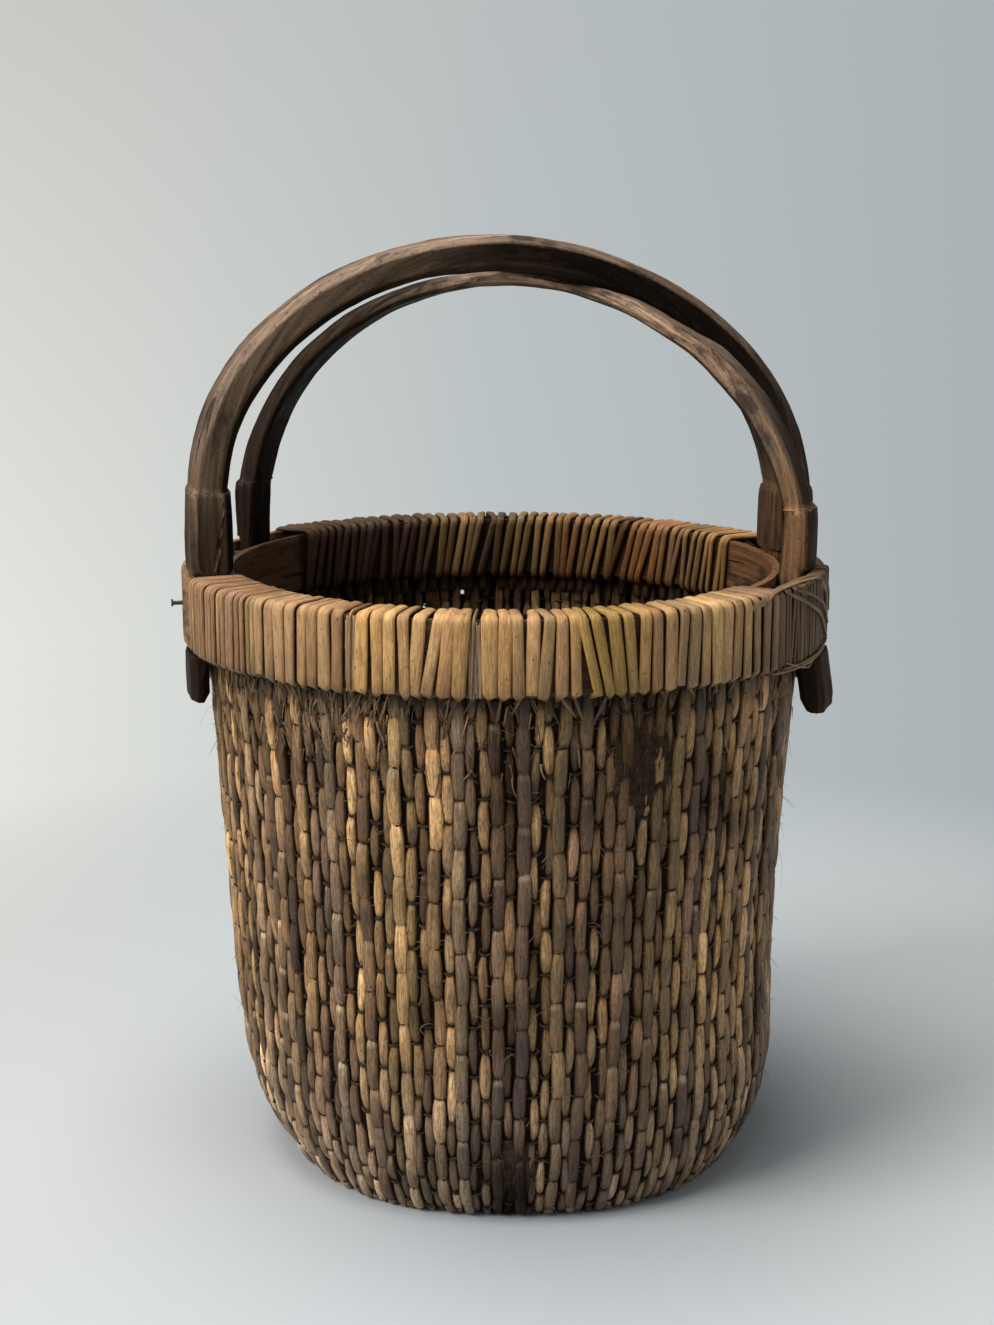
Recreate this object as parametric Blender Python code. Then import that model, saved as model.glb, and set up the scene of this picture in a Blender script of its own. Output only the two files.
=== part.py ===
"""Harvest basket: a woven willow wall and base, two rim hoops bound on with split willow, two bentwood bows.

Metres, +Z up. The basket stands on z = 0 and its rim is centred over the origin. The bows cross over the
basket from its left side at -X to its right side at +X, and the front of the basket faces -Y.
"""

import math

import bmesh
import bpy
import numpy as np
from mathutils import Vector

TOUCH = 0.0003                 # clearance between pieces that touch

# Woven body
BASE_RADIUS = 0.1285           # flat ring that the basket stands on
KNEE_RADIUS = 0.1512           # where the base has rounded up into the wall
WAIST_RADIUS = 0.1537
SHOULDER_RADIUS = 0.1592
KNEE_HEIGHT = 0.056
WAIST_HEIGHT = 0.105
NECK_HEIGHT = 0.2860           # top of the closed weave; only rod ends stand higher
SHOULDER_DROP = 0.0610         # from the neck down to the start of the flare
BASE_ROUNDING = 1.75           # exponent of the curve between the base and the knee
FLARE_ROUNDING = 1.60          # exponent of the curve between the waist and the shoulder
WALL = 0.0072
FLOOR = 0.0075
BASE_SQUARENESS = 2.30         # superellipse exponent of the base outline, 2 being round
BASE_DRIFT = 0.0060            # how far the sagged base has moved to +X
FLOOR_CORNER = 0.0144          # how far the base mat's edge lies inside the weave
ROD_RELIEF = 0.0028            # depth of the groove between two upright rods

# Rim: the hoops are ovals, wider along X where the bow ends pass between them
RIM_BORE_X = 0.1480            # half-axes of the inner hoop's bore
RIM_BORE_Y = 0.1520
INNER_HOOP_THICK = 0.0040
INNER_HOOP_TALL = 0.0330
ROOM_X = 0.0192                # clear room between the two hoops
ROOM_Y = 0.0100
OUTER_HOOP_THICK = 0.0050
OUTER_HOOP_TALL = 0.0381
HOOP_LIFT = 0.0032             # from the top of the closed weave up to the outer hoop's foot
SCARF_LENGTH = 0.060           # overlap of a hoop's tapered ends
SCARF_TIP = 0.0008
INNER_SEAM = math.radians(60.0)
OUTER_SEAM = math.radians(100.0)
ROD_END_DROP = 0.0004          # how far the rod ends stop below the hoops' top
NECK_DRAW_IN_X = 0.0072        # how far the weave lies inside the outer hoop's bore
NECK_DRAW_IN_Y = 0.0020

# Split-willow binding round both hoops and between the rod ends
SPLIT_THICK = 0.0012
SPLIT_WIDTH_OUT = 0.0062
SPLIT_WIDTH_IN = 0.0052
SPLIT_WIDTH_PINCHED = 0.0026
PITCHES = 156                  # places for a turn, right round the rim; a multiple of 4 for the mesh
FRONT_TURNS = (88, 140)        # first and last place that is bound, counted from +X
FRONT_SPLITS = 5
BACK_TURNS = (12, 61)
BACK_SPLITS = 5

# Narrow lashing round the outer hoop at the right-hand bow ends
LASHING_TURNS = 24
LASHING_WIDTH = 0.0028
LASHING_PITCH = 0.0034

# Bows
SHOULDER_RUN = 0.0014
TAIL_BEVEL = 0.0034            # depth of the bevel on the inner side of each bow end's foot
TAIL_BEVEL_TALL = 0.0060
CROSSING_MARGIN = 0.0030       # how far to either side of the outer bow the inner one is shaved flat
CROSSING_RUN = 0.0160          # width over which the shaving runs out beyond that
CROSSING_SLOPE = 0.30
CHAMFER_LIMIT = 0.4            # deepest chamfer, as a share of a bow's thickness
NECK_STEP = 0.0003             # height over which a notch in a bow end cuts in

# Nail through the outer hoop into the left front bow end
NAIL_ANGLE = math.radians(191.0)
NAIL_DROP = 0.0173             # from the hoop's top down to the nail
NAIL_RADIUS = 0.0012
NAIL_HEAD_RADIUS = 0.0021
NAIL_HEAD_THICK = 0.0012
NAIL_STANDS_OUT = 0.0060
NAIL_SIDES = 10

TAU = 2 * math.pi
PITCH = TAU / PITCHES
COARSE = PITCHES // 2          # columns of the wall mesh; each holds two rod ends

# Mesh steps
HOOP_SEGMENTS = 72
SCARF_STEPS = 6
ARCH_STEPS = 26
GAP_SAMPLES = 14               # points per straight run when a split's gap to itself is measured
BASE_RINGS = (0.0, 0.07, 0.24, 0.53, 1.0)                # shares of the knee's height
WAIST_RINGS = (0.0, 0.33, 0.67, 1.0)                     # shares of the way from the waist to the shoulder
FLOOR_RINGS = (0.55, 0.22)                               # shares of the way from the floor to the knee

SHOULDER_HEIGHT = NECK_HEIGHT - SHOULDER_DROP
OUTER_HOOP_FOOT = NECK_HEIGHT + HOOP_LIFT
HOOP_TOP = OUTER_HOOP_FOOT + OUTER_HOOP_TALL
INNER_HOOP_FOOT = HOOP_TOP - INNER_HOOP_TALL
ROD_END_TOP = HOOP_TOP - ROD_END_DROP

INNER_FACE = (RIM_BORE_X, RIM_BORE_Y)
INNER_HOOP_BACK = (RIM_BORE_X + INNER_HOOP_THICK, RIM_BORE_Y + INNER_HOOP_THICK)
OUTER_HOOP_BORE = (INNER_HOOP_BACK[0] + ROOM_X, INNER_HOOP_BACK[1] + ROOM_Y)
OUTER_FACE = (OUTER_HOOP_BORE[0] + OUTER_HOOP_THICK, OUTER_HOOP_BORE[1] + OUTER_HOOP_THICK)
NECK = (OUTER_HOOP_BORE[0] - NECK_DRAW_IN_X, OUTER_HOOP_BORE[1] - NECK_DRAW_IN_Y)
ROD_END_INSIDE = (INNER_HOOP_BACK[0] + TOUCH, INNER_HOOP_BACK[1] + TOUCH)
ROD_END_OUTSIDE = (NECK[0] + TOUCH, OUTER_HOOP_BORE[1] - TOUCH)
ROD_GAP = (SPLIT_WIDTH_PINCHED + 2 * TOUCH) / INNER_HOOP_BACK[0]
LEG_CIRCLE = (INNER_HOOP_BACK[0] + OUTER_FACE[0]) / 2


class Bow:
    """One bentwood bow: where its ends pass the rim, and the arch and section between them.

    Heights are counted up from the hoops' top, and feet down from the top of the closed weave. inset is
    how far the arch's outer flat springs inside the outer hoop's face, and end_step how far the unshaved
    ends stand out beyond the shaved arch. Pairs hold the left and the right value: roundness is each
    half's superellipse exponent, tail_out how far a tail stands out beyond its post, tail_lean how much
    farther at its foot, foot_slant the slope of the foot's cut, and behind_clear how far an end stands
    clear of the inner hoop. Ends that rest on the inner hoop stand out over its top.
    """

    def __init__(self, left_deg, right_deg, crown, crown_shift, spring, inset, roundness, thick, crown_thick,
                 width, chamfer, end_step, shoulders, feet, tail_out, tail_lean, foot_slant,
                 behind_clear, rests_on_hoop, loops_behind_hoop):
        self.angles = (math.radians(left_deg), math.radians(right_deg))
        self.crown = HOOP_TOP + crown
        self.crown_shift = crown_shift
        self.spring = HOOP_TOP + spring
        self.half_span = OUTER_FACE[0] - inset
        self.roundness = roundness
        self.thick = thick
        self.crown_thick = crown_thick
        self.width = width
        self.chamfer = chamfer
        self.end_step = end_step
        self.shoulders = [HOOP_TOP + height for height in shoulders]
        self.feet = [NECK_HEIGHT - length for length in feet]
        self.tail_out = tail_out
        self.tail_lean = tail_lean
        self.foot_slant = foot_slant
        self.behind_clear = behind_clear
        self.rests_on_hoop = rests_on_hoop
        self.loops_behind_hoop = loops_behind_hoop
        left, right = (Vector((math.cos(a), math.sin(a), 0)) * LEG_CIRCLE for a in self.angles)
        self.middle = (left + right) / 2
        self.along = (right - left).normalized()
        self.across = Vector((-self.along.y, self.along.x, 0))


HANDLE_RISE = 0.1771           # from the hoops' top to the top of the outer bow
OUTER_BOW_CROWN_THICK = 0.0190

OUTER_BOW = Bow(left_deg=195.4, right_deg=10.8, crown=HANDLE_RISE, crown_shift=-0.0067, spring=0.0382,
                inset=0.0042, roundness=(1.98, 1.92), thick=0.0204, crown_thick=OUTER_BOW_CROWN_THICK,
                width=0.0325, chamfer=0.0039, end_step=0.0017, shoulders=(0.0452, 0.0372),
                feet=(0.0265, 0.0300), tail_out=(0.0016, 0.0016), tail_lean=(0.0, 0.0015),
                foot_slant=(0.30, 0.10), behind_clear=(0.0, 0.0), rests_on_hoop=True,
                loops_behind_hoop=(False, False))
INNER_BOW = Bow(left_deg=153.1, right_deg=-13.8, crown=HANDLE_RISE - OUTER_BOW_CROWN_THICK - TOUCH,
                crown_shift=0.0018, spring=0.0167, inset=0.0080, roundness=(2.05, 1.88), thick=0.0135,
                crown_thick=0.0086, width=0.0250, chamfer=0.0024, end_step=0.0010,
                shoulders=(0.0350, 0.0350), feet=(0.0290, 0.0310), tail_out=(0.0020, 0.0062),
                tail_lean=(0.0020, 0.0036), foot_slant=(0.10, 0.0), behind_clear=(0.0050, 0.0),
                rests_on_hoop=False, loops_behind_hoop=(False, True))


def clear_scene():
    for item in list(bpy.data.objects):
        bpy.data.objects.remove(item, do_unlink=True)


def material(name, colour, roughness, metallic=0.0):
    made = bpy.data.materials.new(name)
    made.use_nodes = True
    shader = made.node_tree.nodes["Principled BSDF"]
    shader.inputs["Base Color"].default_value = (*colour, 1.0)
    shader.inputs["Roughness"].default_value = roughness
    shader.inputs["Metallic"].default_value = metallic
    return made


def add_object(name, mesh_builder, finish, smooth_deg=35.0):
    bmesh.ops.recalc_face_normals(mesh_builder, faces=mesh_builder.faces)
    mesh = bpy.data.meshes.new(name)
    mesh_builder.to_mesh(mesh)
    mesh_builder.free()
    mesh.shade_smooth()
    mesh.set_sharp_from_angle(angle=math.radians(smooth_deg))
    mesh.materials.append(finish)
    made = bpy.data.objects.new(name, mesh)
    bpy.context.scene.collection.objects.link(made)
    return made


def oval(half_axes, angle, height=0.0, exponent=2.0, drift=0.0):
    """Point of a superellipse in the direction given by angle."""
    c, s = math.cos(angle), math.sin(angle)
    reach = (abs(c / half_axes[0]) ** exponent + abs(s / half_axes[1]) ** exponent) ** (-1 / exponent)
    return Vector((drift + reach * c, reach * s, height))


def oval_radius(half_axes, angle):
    return oval(half_axes, angle).length


def grown(half_axes, by):
    return (half_axes[0] + by, half_axes[1] + by)


def loft(sections, mesh_builder):
    """Skin a row of sections with equal numbers of points, and cap both ends."""
    rows = [[mesh_builder.verts.new(point) for point in section] for section in sections]
    for near, far in zip(rows, rows[1:]):
        skin_rings(mesh_builder, near, far)
    mesh_builder.faces.new(rows[0][::-1])
    mesh_builder.faces.new(rows[-1])


def blend(low, high, share):
    smooth = share * share * (3 - 2 * share)
    return low + (high - low) * smooth


def body_radius(height):
    """Outer radius of the weave up to the shoulder: rounded base, nearly straight waist, slow flare."""
    if height < KNEE_HEIGHT:
        rise = 1 - height / KNEE_HEIGHT
        return KNEE_RADIUS - (KNEE_RADIUS - BASE_RADIUS) * rise ** BASE_ROUNDING
    if height < WAIST_HEIGHT:
        share = (height - KNEE_HEIGHT) / (WAIST_HEIGHT - KNEE_HEIGHT)
        return KNEE_RADIUS + (WAIST_RADIUS - KNEE_RADIUS) * math.sin(share * math.pi / 2)
    share = min(1.0, (height - WAIST_HEIGHT) / (SHOULDER_HEIGHT - WAIST_HEIGHT))
    return WAIST_RADIUS + (SHOULDER_RADIUS - WAIST_RADIUS) * share ** FLARE_ROUNDING


def body_point(angle, height, inset):
    """Point of the weave's outer face, or inset metres inside it."""
    low = max(0.0, 1 - height / (2 * KNEE_HEIGHT))
    squareness = blend(2.0, BASE_SQUARENESS, low)
    to_neck = max(0.0, (height - SHOULDER_HEIGHT) / (NECK_HEIGHT - SHOULDER_HEIGHT))
    radius = body_radius(height)
    half_axes = tuple(radius + (neck - radius) * to_neck - inset for neck in NECK)
    return oval(half_axes, angle, height, squareness, BASE_DRIFT * low)


def coarse_angle(i):
    return 2 * i * PITCH - ROD_GAP / 2


def fine_angle(i):
    side = ROD_GAP / 2 if i % 2 else -ROD_GAP / 2
    return (i // 2) * PITCH + side


def mat_point(angle, height, grow=0.0):
    """Point on the upright edge where the base mat meets the rods that turn in under the wall."""
    point = body_point(angle, FLOOR, FLOOR_CORNER - grow)
    point.z = height
    return point


def mat_ring(mesh_builder, height, grow=0.0):
    return [mesh_builder.verts.new(mat_point(coarse_angle(i), height, grow)) for i in range(COARSE)]


def inner_ring(mesh_builder, height):
    return [mesh_builder.verts.new(body_point(coarse_angle(i), height, WALL)) for i in range(COARSE)]


def rod_ring(mesh_builder, height):
    """Outer ring of the weave, with a groove and then a crest for each upright rod."""
    ring = []
    for place in range(PITCHES):
        ring.append(mesh_builder.verts.new(body_point(place * PITCH, height, ROD_RELIEF)))
        ring.append(mesh_builder.verts.new(body_point((place + 0.5) * PITCH, height, 0.0)))
    return ring


def fine_ring(mesh_builder, half_axes, height):
    return [mesh_builder.verts.new(oval(half_axes, fine_angle(i), height)) for i in range(4 * COARSE)]


def skin_rings(mesh_builder, low, high):
    count = len(low)
    for i in range(count):
        j = (i + 1) % count
        mesh_builder.faces.new((low[i], low[j], high[j], high[i]))


def skin_coarse_to_fine(mesh_builder, coarse, fine):
    for i in range(COARSE):
        first = 4 * i
        edge = [fine[(first + step) % len(fine)] for step in range(4, -1, -1)]
        mesh_builder.faces.new([coarse[i], coarse[(i + 1) % COARSE]] + edge)


def at_a_bow_end(angle):
    """True where a bow end passes the rim, so that no rod end stands there."""
    rod = (PITCH - ROD_GAP) / 2
    for bow in (OUTER_BOW, INNER_BOW):
        half = (bow.width / 2 + bow.end_step + 3 * TOUCH) / (LEG_CIRCLE - bow.width / 2) + rod
        for leg in bow.angles:
            away = (angle - leg + math.pi) % TAU - math.pi
            if abs(away) < half:
                return True
    return False


def make_base(finish):
    """Flat woven mat of rods laid from front to back, inside the foot of the wall."""
    builder = bmesh.new()
    under = mat_ring(builder, 0.0)
    over = mat_ring(builder, FLOOR)
    skin_rings(builder, under, over)
    builder.faces.new(under)
    builder.faces.new(over)
    return add_object("willow_base", builder, finish)


def make_foot(finish):
    """Foot of the woven shell, from the knee down and turned in to the edge of the base mat."""
    builder = bmesh.new()
    outside = [rod_ring(builder, KNEE_HEIGHT * share) for share in BASE_RINGS]
    inside = [inner_ring(builder, KNEE_HEIGHT)]
    inside += [inner_ring(builder, FLOOR + (KNEE_HEIGHT - FLOOR) * share) for share in FLOOR_RINGS]
    inside.append(mat_ring(builder, FLOOR, TOUCH))
    inside.append(mat_ring(builder, 0.0, TOUCH))
    for rings in (outside, inside):
        for near, far in zip(rings, rings[1:]):
            skin_rings(builder, near, far)
    skin_coarse_to_fine(builder, inside[0], outside[-1])
    skin_coarse_to_fine(builder, inside[-1], outside[0])
    return add_object("willow_foot", builder, finish)


def make_wall(finish):
    """Woven shell above the knee, and the rod ends that stand between the rim hoops."""
    builder = bmesh.new()
    waist_steps = [WAIST_HEIGHT + (SHOULDER_HEIGHT - WAIST_HEIGHT) * share for share in WAIST_RINGS]
    heights = [KNEE_HEIGHT + TOUCH] + waist_steps

    neck_out = fine_ring(builder, NECK, NECK_HEIGHT)
    neck_in = fine_ring(builder, ROD_END_INSIDE, NECK_HEIGHT)
    outside = [rod_ring(builder, z) for z in heights] + [neck_out]
    inside = [inner_ring(builder, z) for z in heights]

    for rings in (outside, inside):
        for low, high in zip(rings, rings[1:]):
            skin_rings(builder, low, high)
    skin_coarse_to_fine(builder, inside[-1], neck_in)
    skin_coarse_to_fine(builder, inside[0], outside[0])

    rod_faces = []
    for i in range(4 * COARSE):
        j = (i + 1) % (4 * COARSE)
        face = builder.faces.new((neck_out[i], neck_out[j], neck_in[j], neck_in[i]))
        rod_middle = (i // 2) * PITCH + PITCH / 2
        if i % 2 and not at_a_bow_end(rod_middle):
            rod_faces.append(face)
    bmesh.ops.recalc_face_normals(builder, faces=builder.faces)
    for face in bmesh.ops.extrude_discrete_faces(builder, faces=rod_faces)["faces"]:
        for corner in face.verts:
            angle = math.atan2(corner.co.y, corner.co.x)
            outer = corner.co.xy.length > oval_radius(ROD_END_INSIDE, angle) + WALL / 4
            half_axes = ROD_END_OUTSIDE if outer else ROD_END_INSIDE
            corner.co = oval(half_axes, angle, ROD_END_TOP)
    return add_object("willow_wall", builder, finish)


def hoop_sections(half_axes, thick, foot, seam):
    """Sections of a bent slat whose ends taper and lap over SCARF_LENGTH from the seam angle on."""
    lap = SCARF_LENGTH / half_axes[0]
    nick = TOUCH / half_axes[0]
    plan = []
    for i in range(SCARF_STEPS + 1):
        share = i / SCARF_STEPS
        plan.append((seam + lap * share, 0.0, SCARF_TIP + (thick - 2 * SCARF_TIP - TOUCH) * share))
    around = HOOP_SEGMENTS - SCARF_STEPS
    for i in range(around + 1):
        share = i / around
        plan.append((seam + lap + nick + (TAU - lap - 2 * nick) * share, 0.0, thick))
    for i in range(SCARF_STEPS + 1):
        share = i / SCARF_STEPS
        low = SCARF_TIP + TOUCH + (thick - 2 * SCARF_TIP - TOUCH) * share
        plan.append((seam + TAU + lap * share, low, thick))
    sections = []
    for angle, low, high in plan:
        near, far = grown(half_axes, low), grown(half_axes, high)
        sections.append([oval(near, angle, foot), oval(far, angle, foot),
                         oval(far, angle, HOOP_TOP), oval(near, angle, HOOP_TOP)])
    return sections


def make_hoop(name, half_axes, thick, foot, seam, finish):
    builder = bmesh.new()
    loft(hoop_sections(half_axes, thick, foot, seam), builder)
    return add_object(name, builder, finish)


def line_to_oval(bow, sign, sideways, half_axes):
    """Distance along the bow's plane, from its middle, at which a line beside it crosses an oval."""
    start = bow.middle + bow.across * sideways
    step = bow.along * sign
    a = (step.x / half_axes[0]) ** 2 + (step.y / half_axes[1]) ** 2
    b = 2 * (start.x * step.x / half_axes[0] ** 2 + start.y * step.y / half_axes[1] ** 2)
    c = (start.x / half_axes[0]) ** 2 + (start.y / half_axes[1]) ** 2 - 1
    return (-b + math.sqrt(b * b - 4 * a * c)) / (2 * a)


def bow_section(outer, outward, across, thick, width, chamfer):
    """Chamfered rectangle whose outer flat is centred on outer."""
    cut = min(chamfer, thick * CHAMFER_LIMIT)
    half = width / 2
    corners = [(0, chamfer - half), (0, half - chamfer), (-cut, half), (cut - thick, half),
               (-thick, half - chamfer), (-thick, chamfer - half), (cut - thick, -half), (-cut, -half)]
    return [outer + outward * depth + across * side for depth, side in corners]


def leg_sections(bow, side):
    """Bow end from its foot up to the shoulder of the shaved arch; side 0 is left and 1 is right."""
    sign = 1 if side else -1
    outward = bow.along * sign
    width = bow.width + bow.end_step
    flat = width / 2 - bow.chamfer
    offsets = [flat * k / 2 for k in range(-2, 3)]
    behind_hoop = SPLIT_THICK + 2 * TOUCH if bow.loops_behind_hoop[side] else TOUCH
    inner = max(line_to_oval(bow, sign, y, INNER_HOOP_BACK) for y in offsets) + TOUCH
    inner += bow.behind_clear[side]
    notch = min(line_to_oval(bow, sign, y, OUTER_HOOP_BORE) for y in offsets) - behind_hoop
    beside_wall = max(line_to_oval(bow, sign, y, NECK) for y in offsets) + TOUCH
    post = bow.half_span + bow.end_step
    post_inner = bow.half_span - bow.thick - (bow.end_step if bow.rests_on_hoop else 0.0)
    tail = post + bow.tail_out[side]
    foot = bow.feet[side]
    lean = bow.tail_lean[side]
    step_in = NECK_HEIGHT + TOUCH
    ledge = OUTER_HOOP_FOOT - SPLIT_THICK - 3 * TOUCH
    notch_top = HOOP_TOP + SPLIT_THICK + 3 * TOUCH
    rows = [(foot, beside_wall + lean + TAIL_BEVEL, tail + lean),
            (foot + TAIL_BEVEL_TALL, beside_wall + lean, tail + lean),
            (step_in, beside_wall, tail),
            (step_in + NECK_STEP, inner, tail),
            (ledge - NECK_STEP, inner, tail),
            (ledge, inner, notch),
            (notch_top, inner, notch),
            (notch_top + NECK_STEP, post_inner if bow.rests_on_hoop else inner, post),
            (bow.shoulders[side], post_inner, post)]
    sections = []
    for height, near, far in rows:
        slant = bow.foot_slant[side] if height == foot else 0.0
        point = bow.middle + outward * far
        point.z = height + slant * (far - near)
        cut = outward + Vector((0, 0, slant))
        sections.append(bow_section(point, cut, bow.across, far - near, width, bow.chamfer))
    return sections


class ArchPoint:
    """One place along a bow's shaved arch, angle running from 0 at the left to pi at the right."""

    def __init__(self, bow, angle):
        rise = bow.crown - bow.spring
        c, s = math.cos(angle), math.sin(angle)
        power = 2 / bow.roundness[0 if c > 0 else 1]
        reach = bow.crown_shift * s - math.copysign(abs(c) ** power, c) * bow.half_span
        self.outer = bow.middle + bow.along * reach
        self.outer.z = bow.spring + rise * s ** power
        lean = -math.copysign(abs(c) ** (2 - power), c) / bow.half_span
        self.outward = (bow.along * lean + Vector((0, 0, s ** (2 - power) / rise))).normalized()
        self.thick = bow.thick + (bow.crown_thick - bow.thick) * s


def arch_points(bow):
    """Places along the arch, from just above the left shoulder to just above the right one."""
    ends = []
    for side in (0, 1):
        height = bow.shoulders[side] + SHOULDER_RUN - bow.spring
        ends.append(math.asin((height / (bow.crown - bow.spring)) ** (bow.roundness[side] / 2)))
    first, last = ends[0], math.pi - ends[1]
    return [ArchPoint(bow, first + (last - first) * i / ARCH_STEPS) for i in range(ARCH_STEPS + 1)]


def room_under(bow, place):
    """Height up to which another bow may stand at a place; no limit where the place is not by this one."""
    from_middle = place - bow.middle
    beside = abs(from_middle.dot(bow.across)) - bow.width / 2 - CROSSING_MARGIN
    if beside > CROSSING_RUN:
        return math.inf
    reach = from_middle.dot(bow.along)
    inner_faces = [point.outer - point.outward * point.thick for point in arch_points(bow)]
    for near, far in zip(inner_faces, inner_faces[1:]):
        start = (near - bow.middle).dot(bow.along)
        stop = (far - bow.middle).dot(bow.along)
        if start <= reach <= stop:
            height = near.z + (far.z - near.z) * (reach - start) / (stop - start)
            return height - TOUCH + max(beside, 0.0) * CROSSING_SLOPE
    return math.inf


def too_high_under(bow, section):
    """How far a section of another bow would stand up into this one."""
    return max([0.0] + [corner.z - room_under(bow, corner) for corner in section])


def arch_sections(bow, over=None):
    """Shaved arch between the shoulders, shaved flatter where it passes under another bow."""
    sections = []
    for point in arch_points(bow):
        section = bow_section(point.outer, point.outward, bow.across, point.thick, bow.width, bow.chamfer)
        if over:
            shaved = too_high_under(over, section) / point.outward.z
            section = bow_section(point.outer - point.outward * shaved, point.outward, bow.across,
                                  point.thick - shaved, bow.width, bow.chamfer)
        sections.append(section)
    return sections


def make_bow(name, bow, finish, over=None):
    builder = bmesh.new()
    sections = leg_sections(bow, 0) + arch_sections(bow, over) + leg_sections(bow, 1)[::-1]
    loft(sections, builder)
    return add_object(name, builder, finish, smooth_deg=20.0)


def full_turn(place):
    """Stations of one turn round both hoops: angle, radius, height and width at each corner."""
    angle = place * PITCH
    after = angle + PITCH
    half = SPLIT_THICK / 2 + TOUCH
    top = HOOP_TOP + half
    foot_out = OUTER_HOOP_FOOT - half - TOUCH
    foot_in = INNER_HOOP_FOOT - half
    out = oval_radius(OUTER_FACE, angle) + half
    back = oval_radius(INNER_FACE, angle) - half
    back_after = oval_radius(INNER_FACE, after) - half
    rod_in = oval_radius(ROD_END_INSIDE, after) - 2 * TOUCH
    rod_out = oval_radius(ROD_END_OUTSIDE, after) + 2 * TOUCH
    rise = (foot_in - foot_out) * (rod_out - rod_in) / (rod_out - back_after)
    return [(angle, out, foot_out, SPLIT_WIDTH_OUT),
            (angle, out, top, SPLIT_WIDTH_OUT),
            (angle, back, top, SPLIT_WIDTH_IN),
            (after, back_after, foot_in, SPLIT_WIDTH_IN),
            (after, rod_in, foot_out + rise, SPLIT_WIDTH_PINCHED),
            (after, rod_out, foot_out, SPLIT_WIDTH_PINCHED)]


def lashing_turn(index):
    """Stations of one narrow turn round the outer hoop alone."""
    beside = FRONT_TURNS[1] * PITCH
    start = beside + ((SPLIT_WIDTH_OUT + LASHING_WIDTH) / 2 + 2 * TOUCH) / oval_radius(OUTER_FACE, beside)
    step = LASHING_PITCH / OUTER_FACE[0]
    angle = start + step * index
    after = angle + step
    half = SPLIT_THICK / 2 + TOUCH
    out = oval_radius(OUTER_FACE, angle) + half
    back = oval_radius(OUTER_HOOP_BORE, angle) - half
    back_after = oval_radius(OUTER_HOOP_BORE, after) - half
    top = HOOP_TOP + half
    foot = OUTER_HOOP_FOOT - half
    return [(angle, out, foot, LASHING_WIDTH),
            (angle, out, top, LASHING_WIDTH),
            (angle, back, top, LASHING_WIDTH),
            (after, back_after, foot, LASHING_WIDTH)]


def split_sections(stations):
    """Mitred sections of a flat split along its stations."""
    sections = []
    for i, (angle, radius, height, width) in enumerate(stations):
        here = Vector((radius, height))
        into = (here - Vector(stations[i - 1][1:3])).normalized() if i else None
        out = (Vector(stations[i + 1][1:3]) - here).normalized() if i + 1 < len(stations) else None
        into = into or out
        out = out or into
        normal_in = Vector((-into.y, into.x))
        normal_out = Vector((-out.y, out.x))
        mitre = (normal_in + normal_out) / (1 + normal_in.dot(normal_out)) * SPLIT_THICK / 2
        section = []
        for face, edge in ((1, -1), (1, 1), (-1, 1), (-1, -1)):
            r = radius + mitre.x * face
            turn = angle + edge * width / (2 * radius)
            section.append(Vector((r * math.cos(turn), r * math.sin(turn), height + mitre.y * face)))
        sections.append(section)
    return sections


def least_self_gap(turns):
    """Least distance between the facing edges of neighbouring turns, on points along them."""
    least = math.inf
    for turn, following in zip(turns, turns[1:]):
        edges = []
        for stations, side in ((turn, 1), (following, -1)):
            points = []
            for near, far in zip(stations, stations[1:]):
                for i in range(GAP_SAMPLES + 1):
                    share = i / GAP_SAMPLES
                    angle, radius, height, width = (a + (b - a) * share for a, b in zip(near, far))
                    at = angle + side * width / (2 * radius)
                    points.append((radius * math.cos(at), radius * math.sin(at), height))
            edges.append(np.array(points))
        apart = np.linalg.norm(edges[0][:, None, :] - edges[1][None, :, :], axis=2)
        least = min(least, float(apart.min()))
    return least


def make_split(name, turns, left_off, finish):
    """One unbroken split through its turns, less the stations left off the end of the last one."""
    stations = [station for turn in turns for station in turn]
    stations = stations[:len(stations) - left_off]
    builder = bmesh.new()
    loft(split_sections(stations), builder)
    print(f"{name}: {len(turns)} turns, least gap to itself {least_self_gap(turns) * 1000:.2f} mm")
    return add_object(name, builder, finish, smooth_deg=25.0)


def make_binding(label, places, splits, finishes):
    first, last = places
    count = last - first + 1
    for i in range(splits):
        start = first + count * i // splits
        stop = first + count * (i + 1) // splits
        turns = [full_turn(place) for place in range(start, stop)]
        make_split(f"rim_binding_{label}_{i + 1}", turns, 2, finishes[i % len(finishes)])


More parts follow.
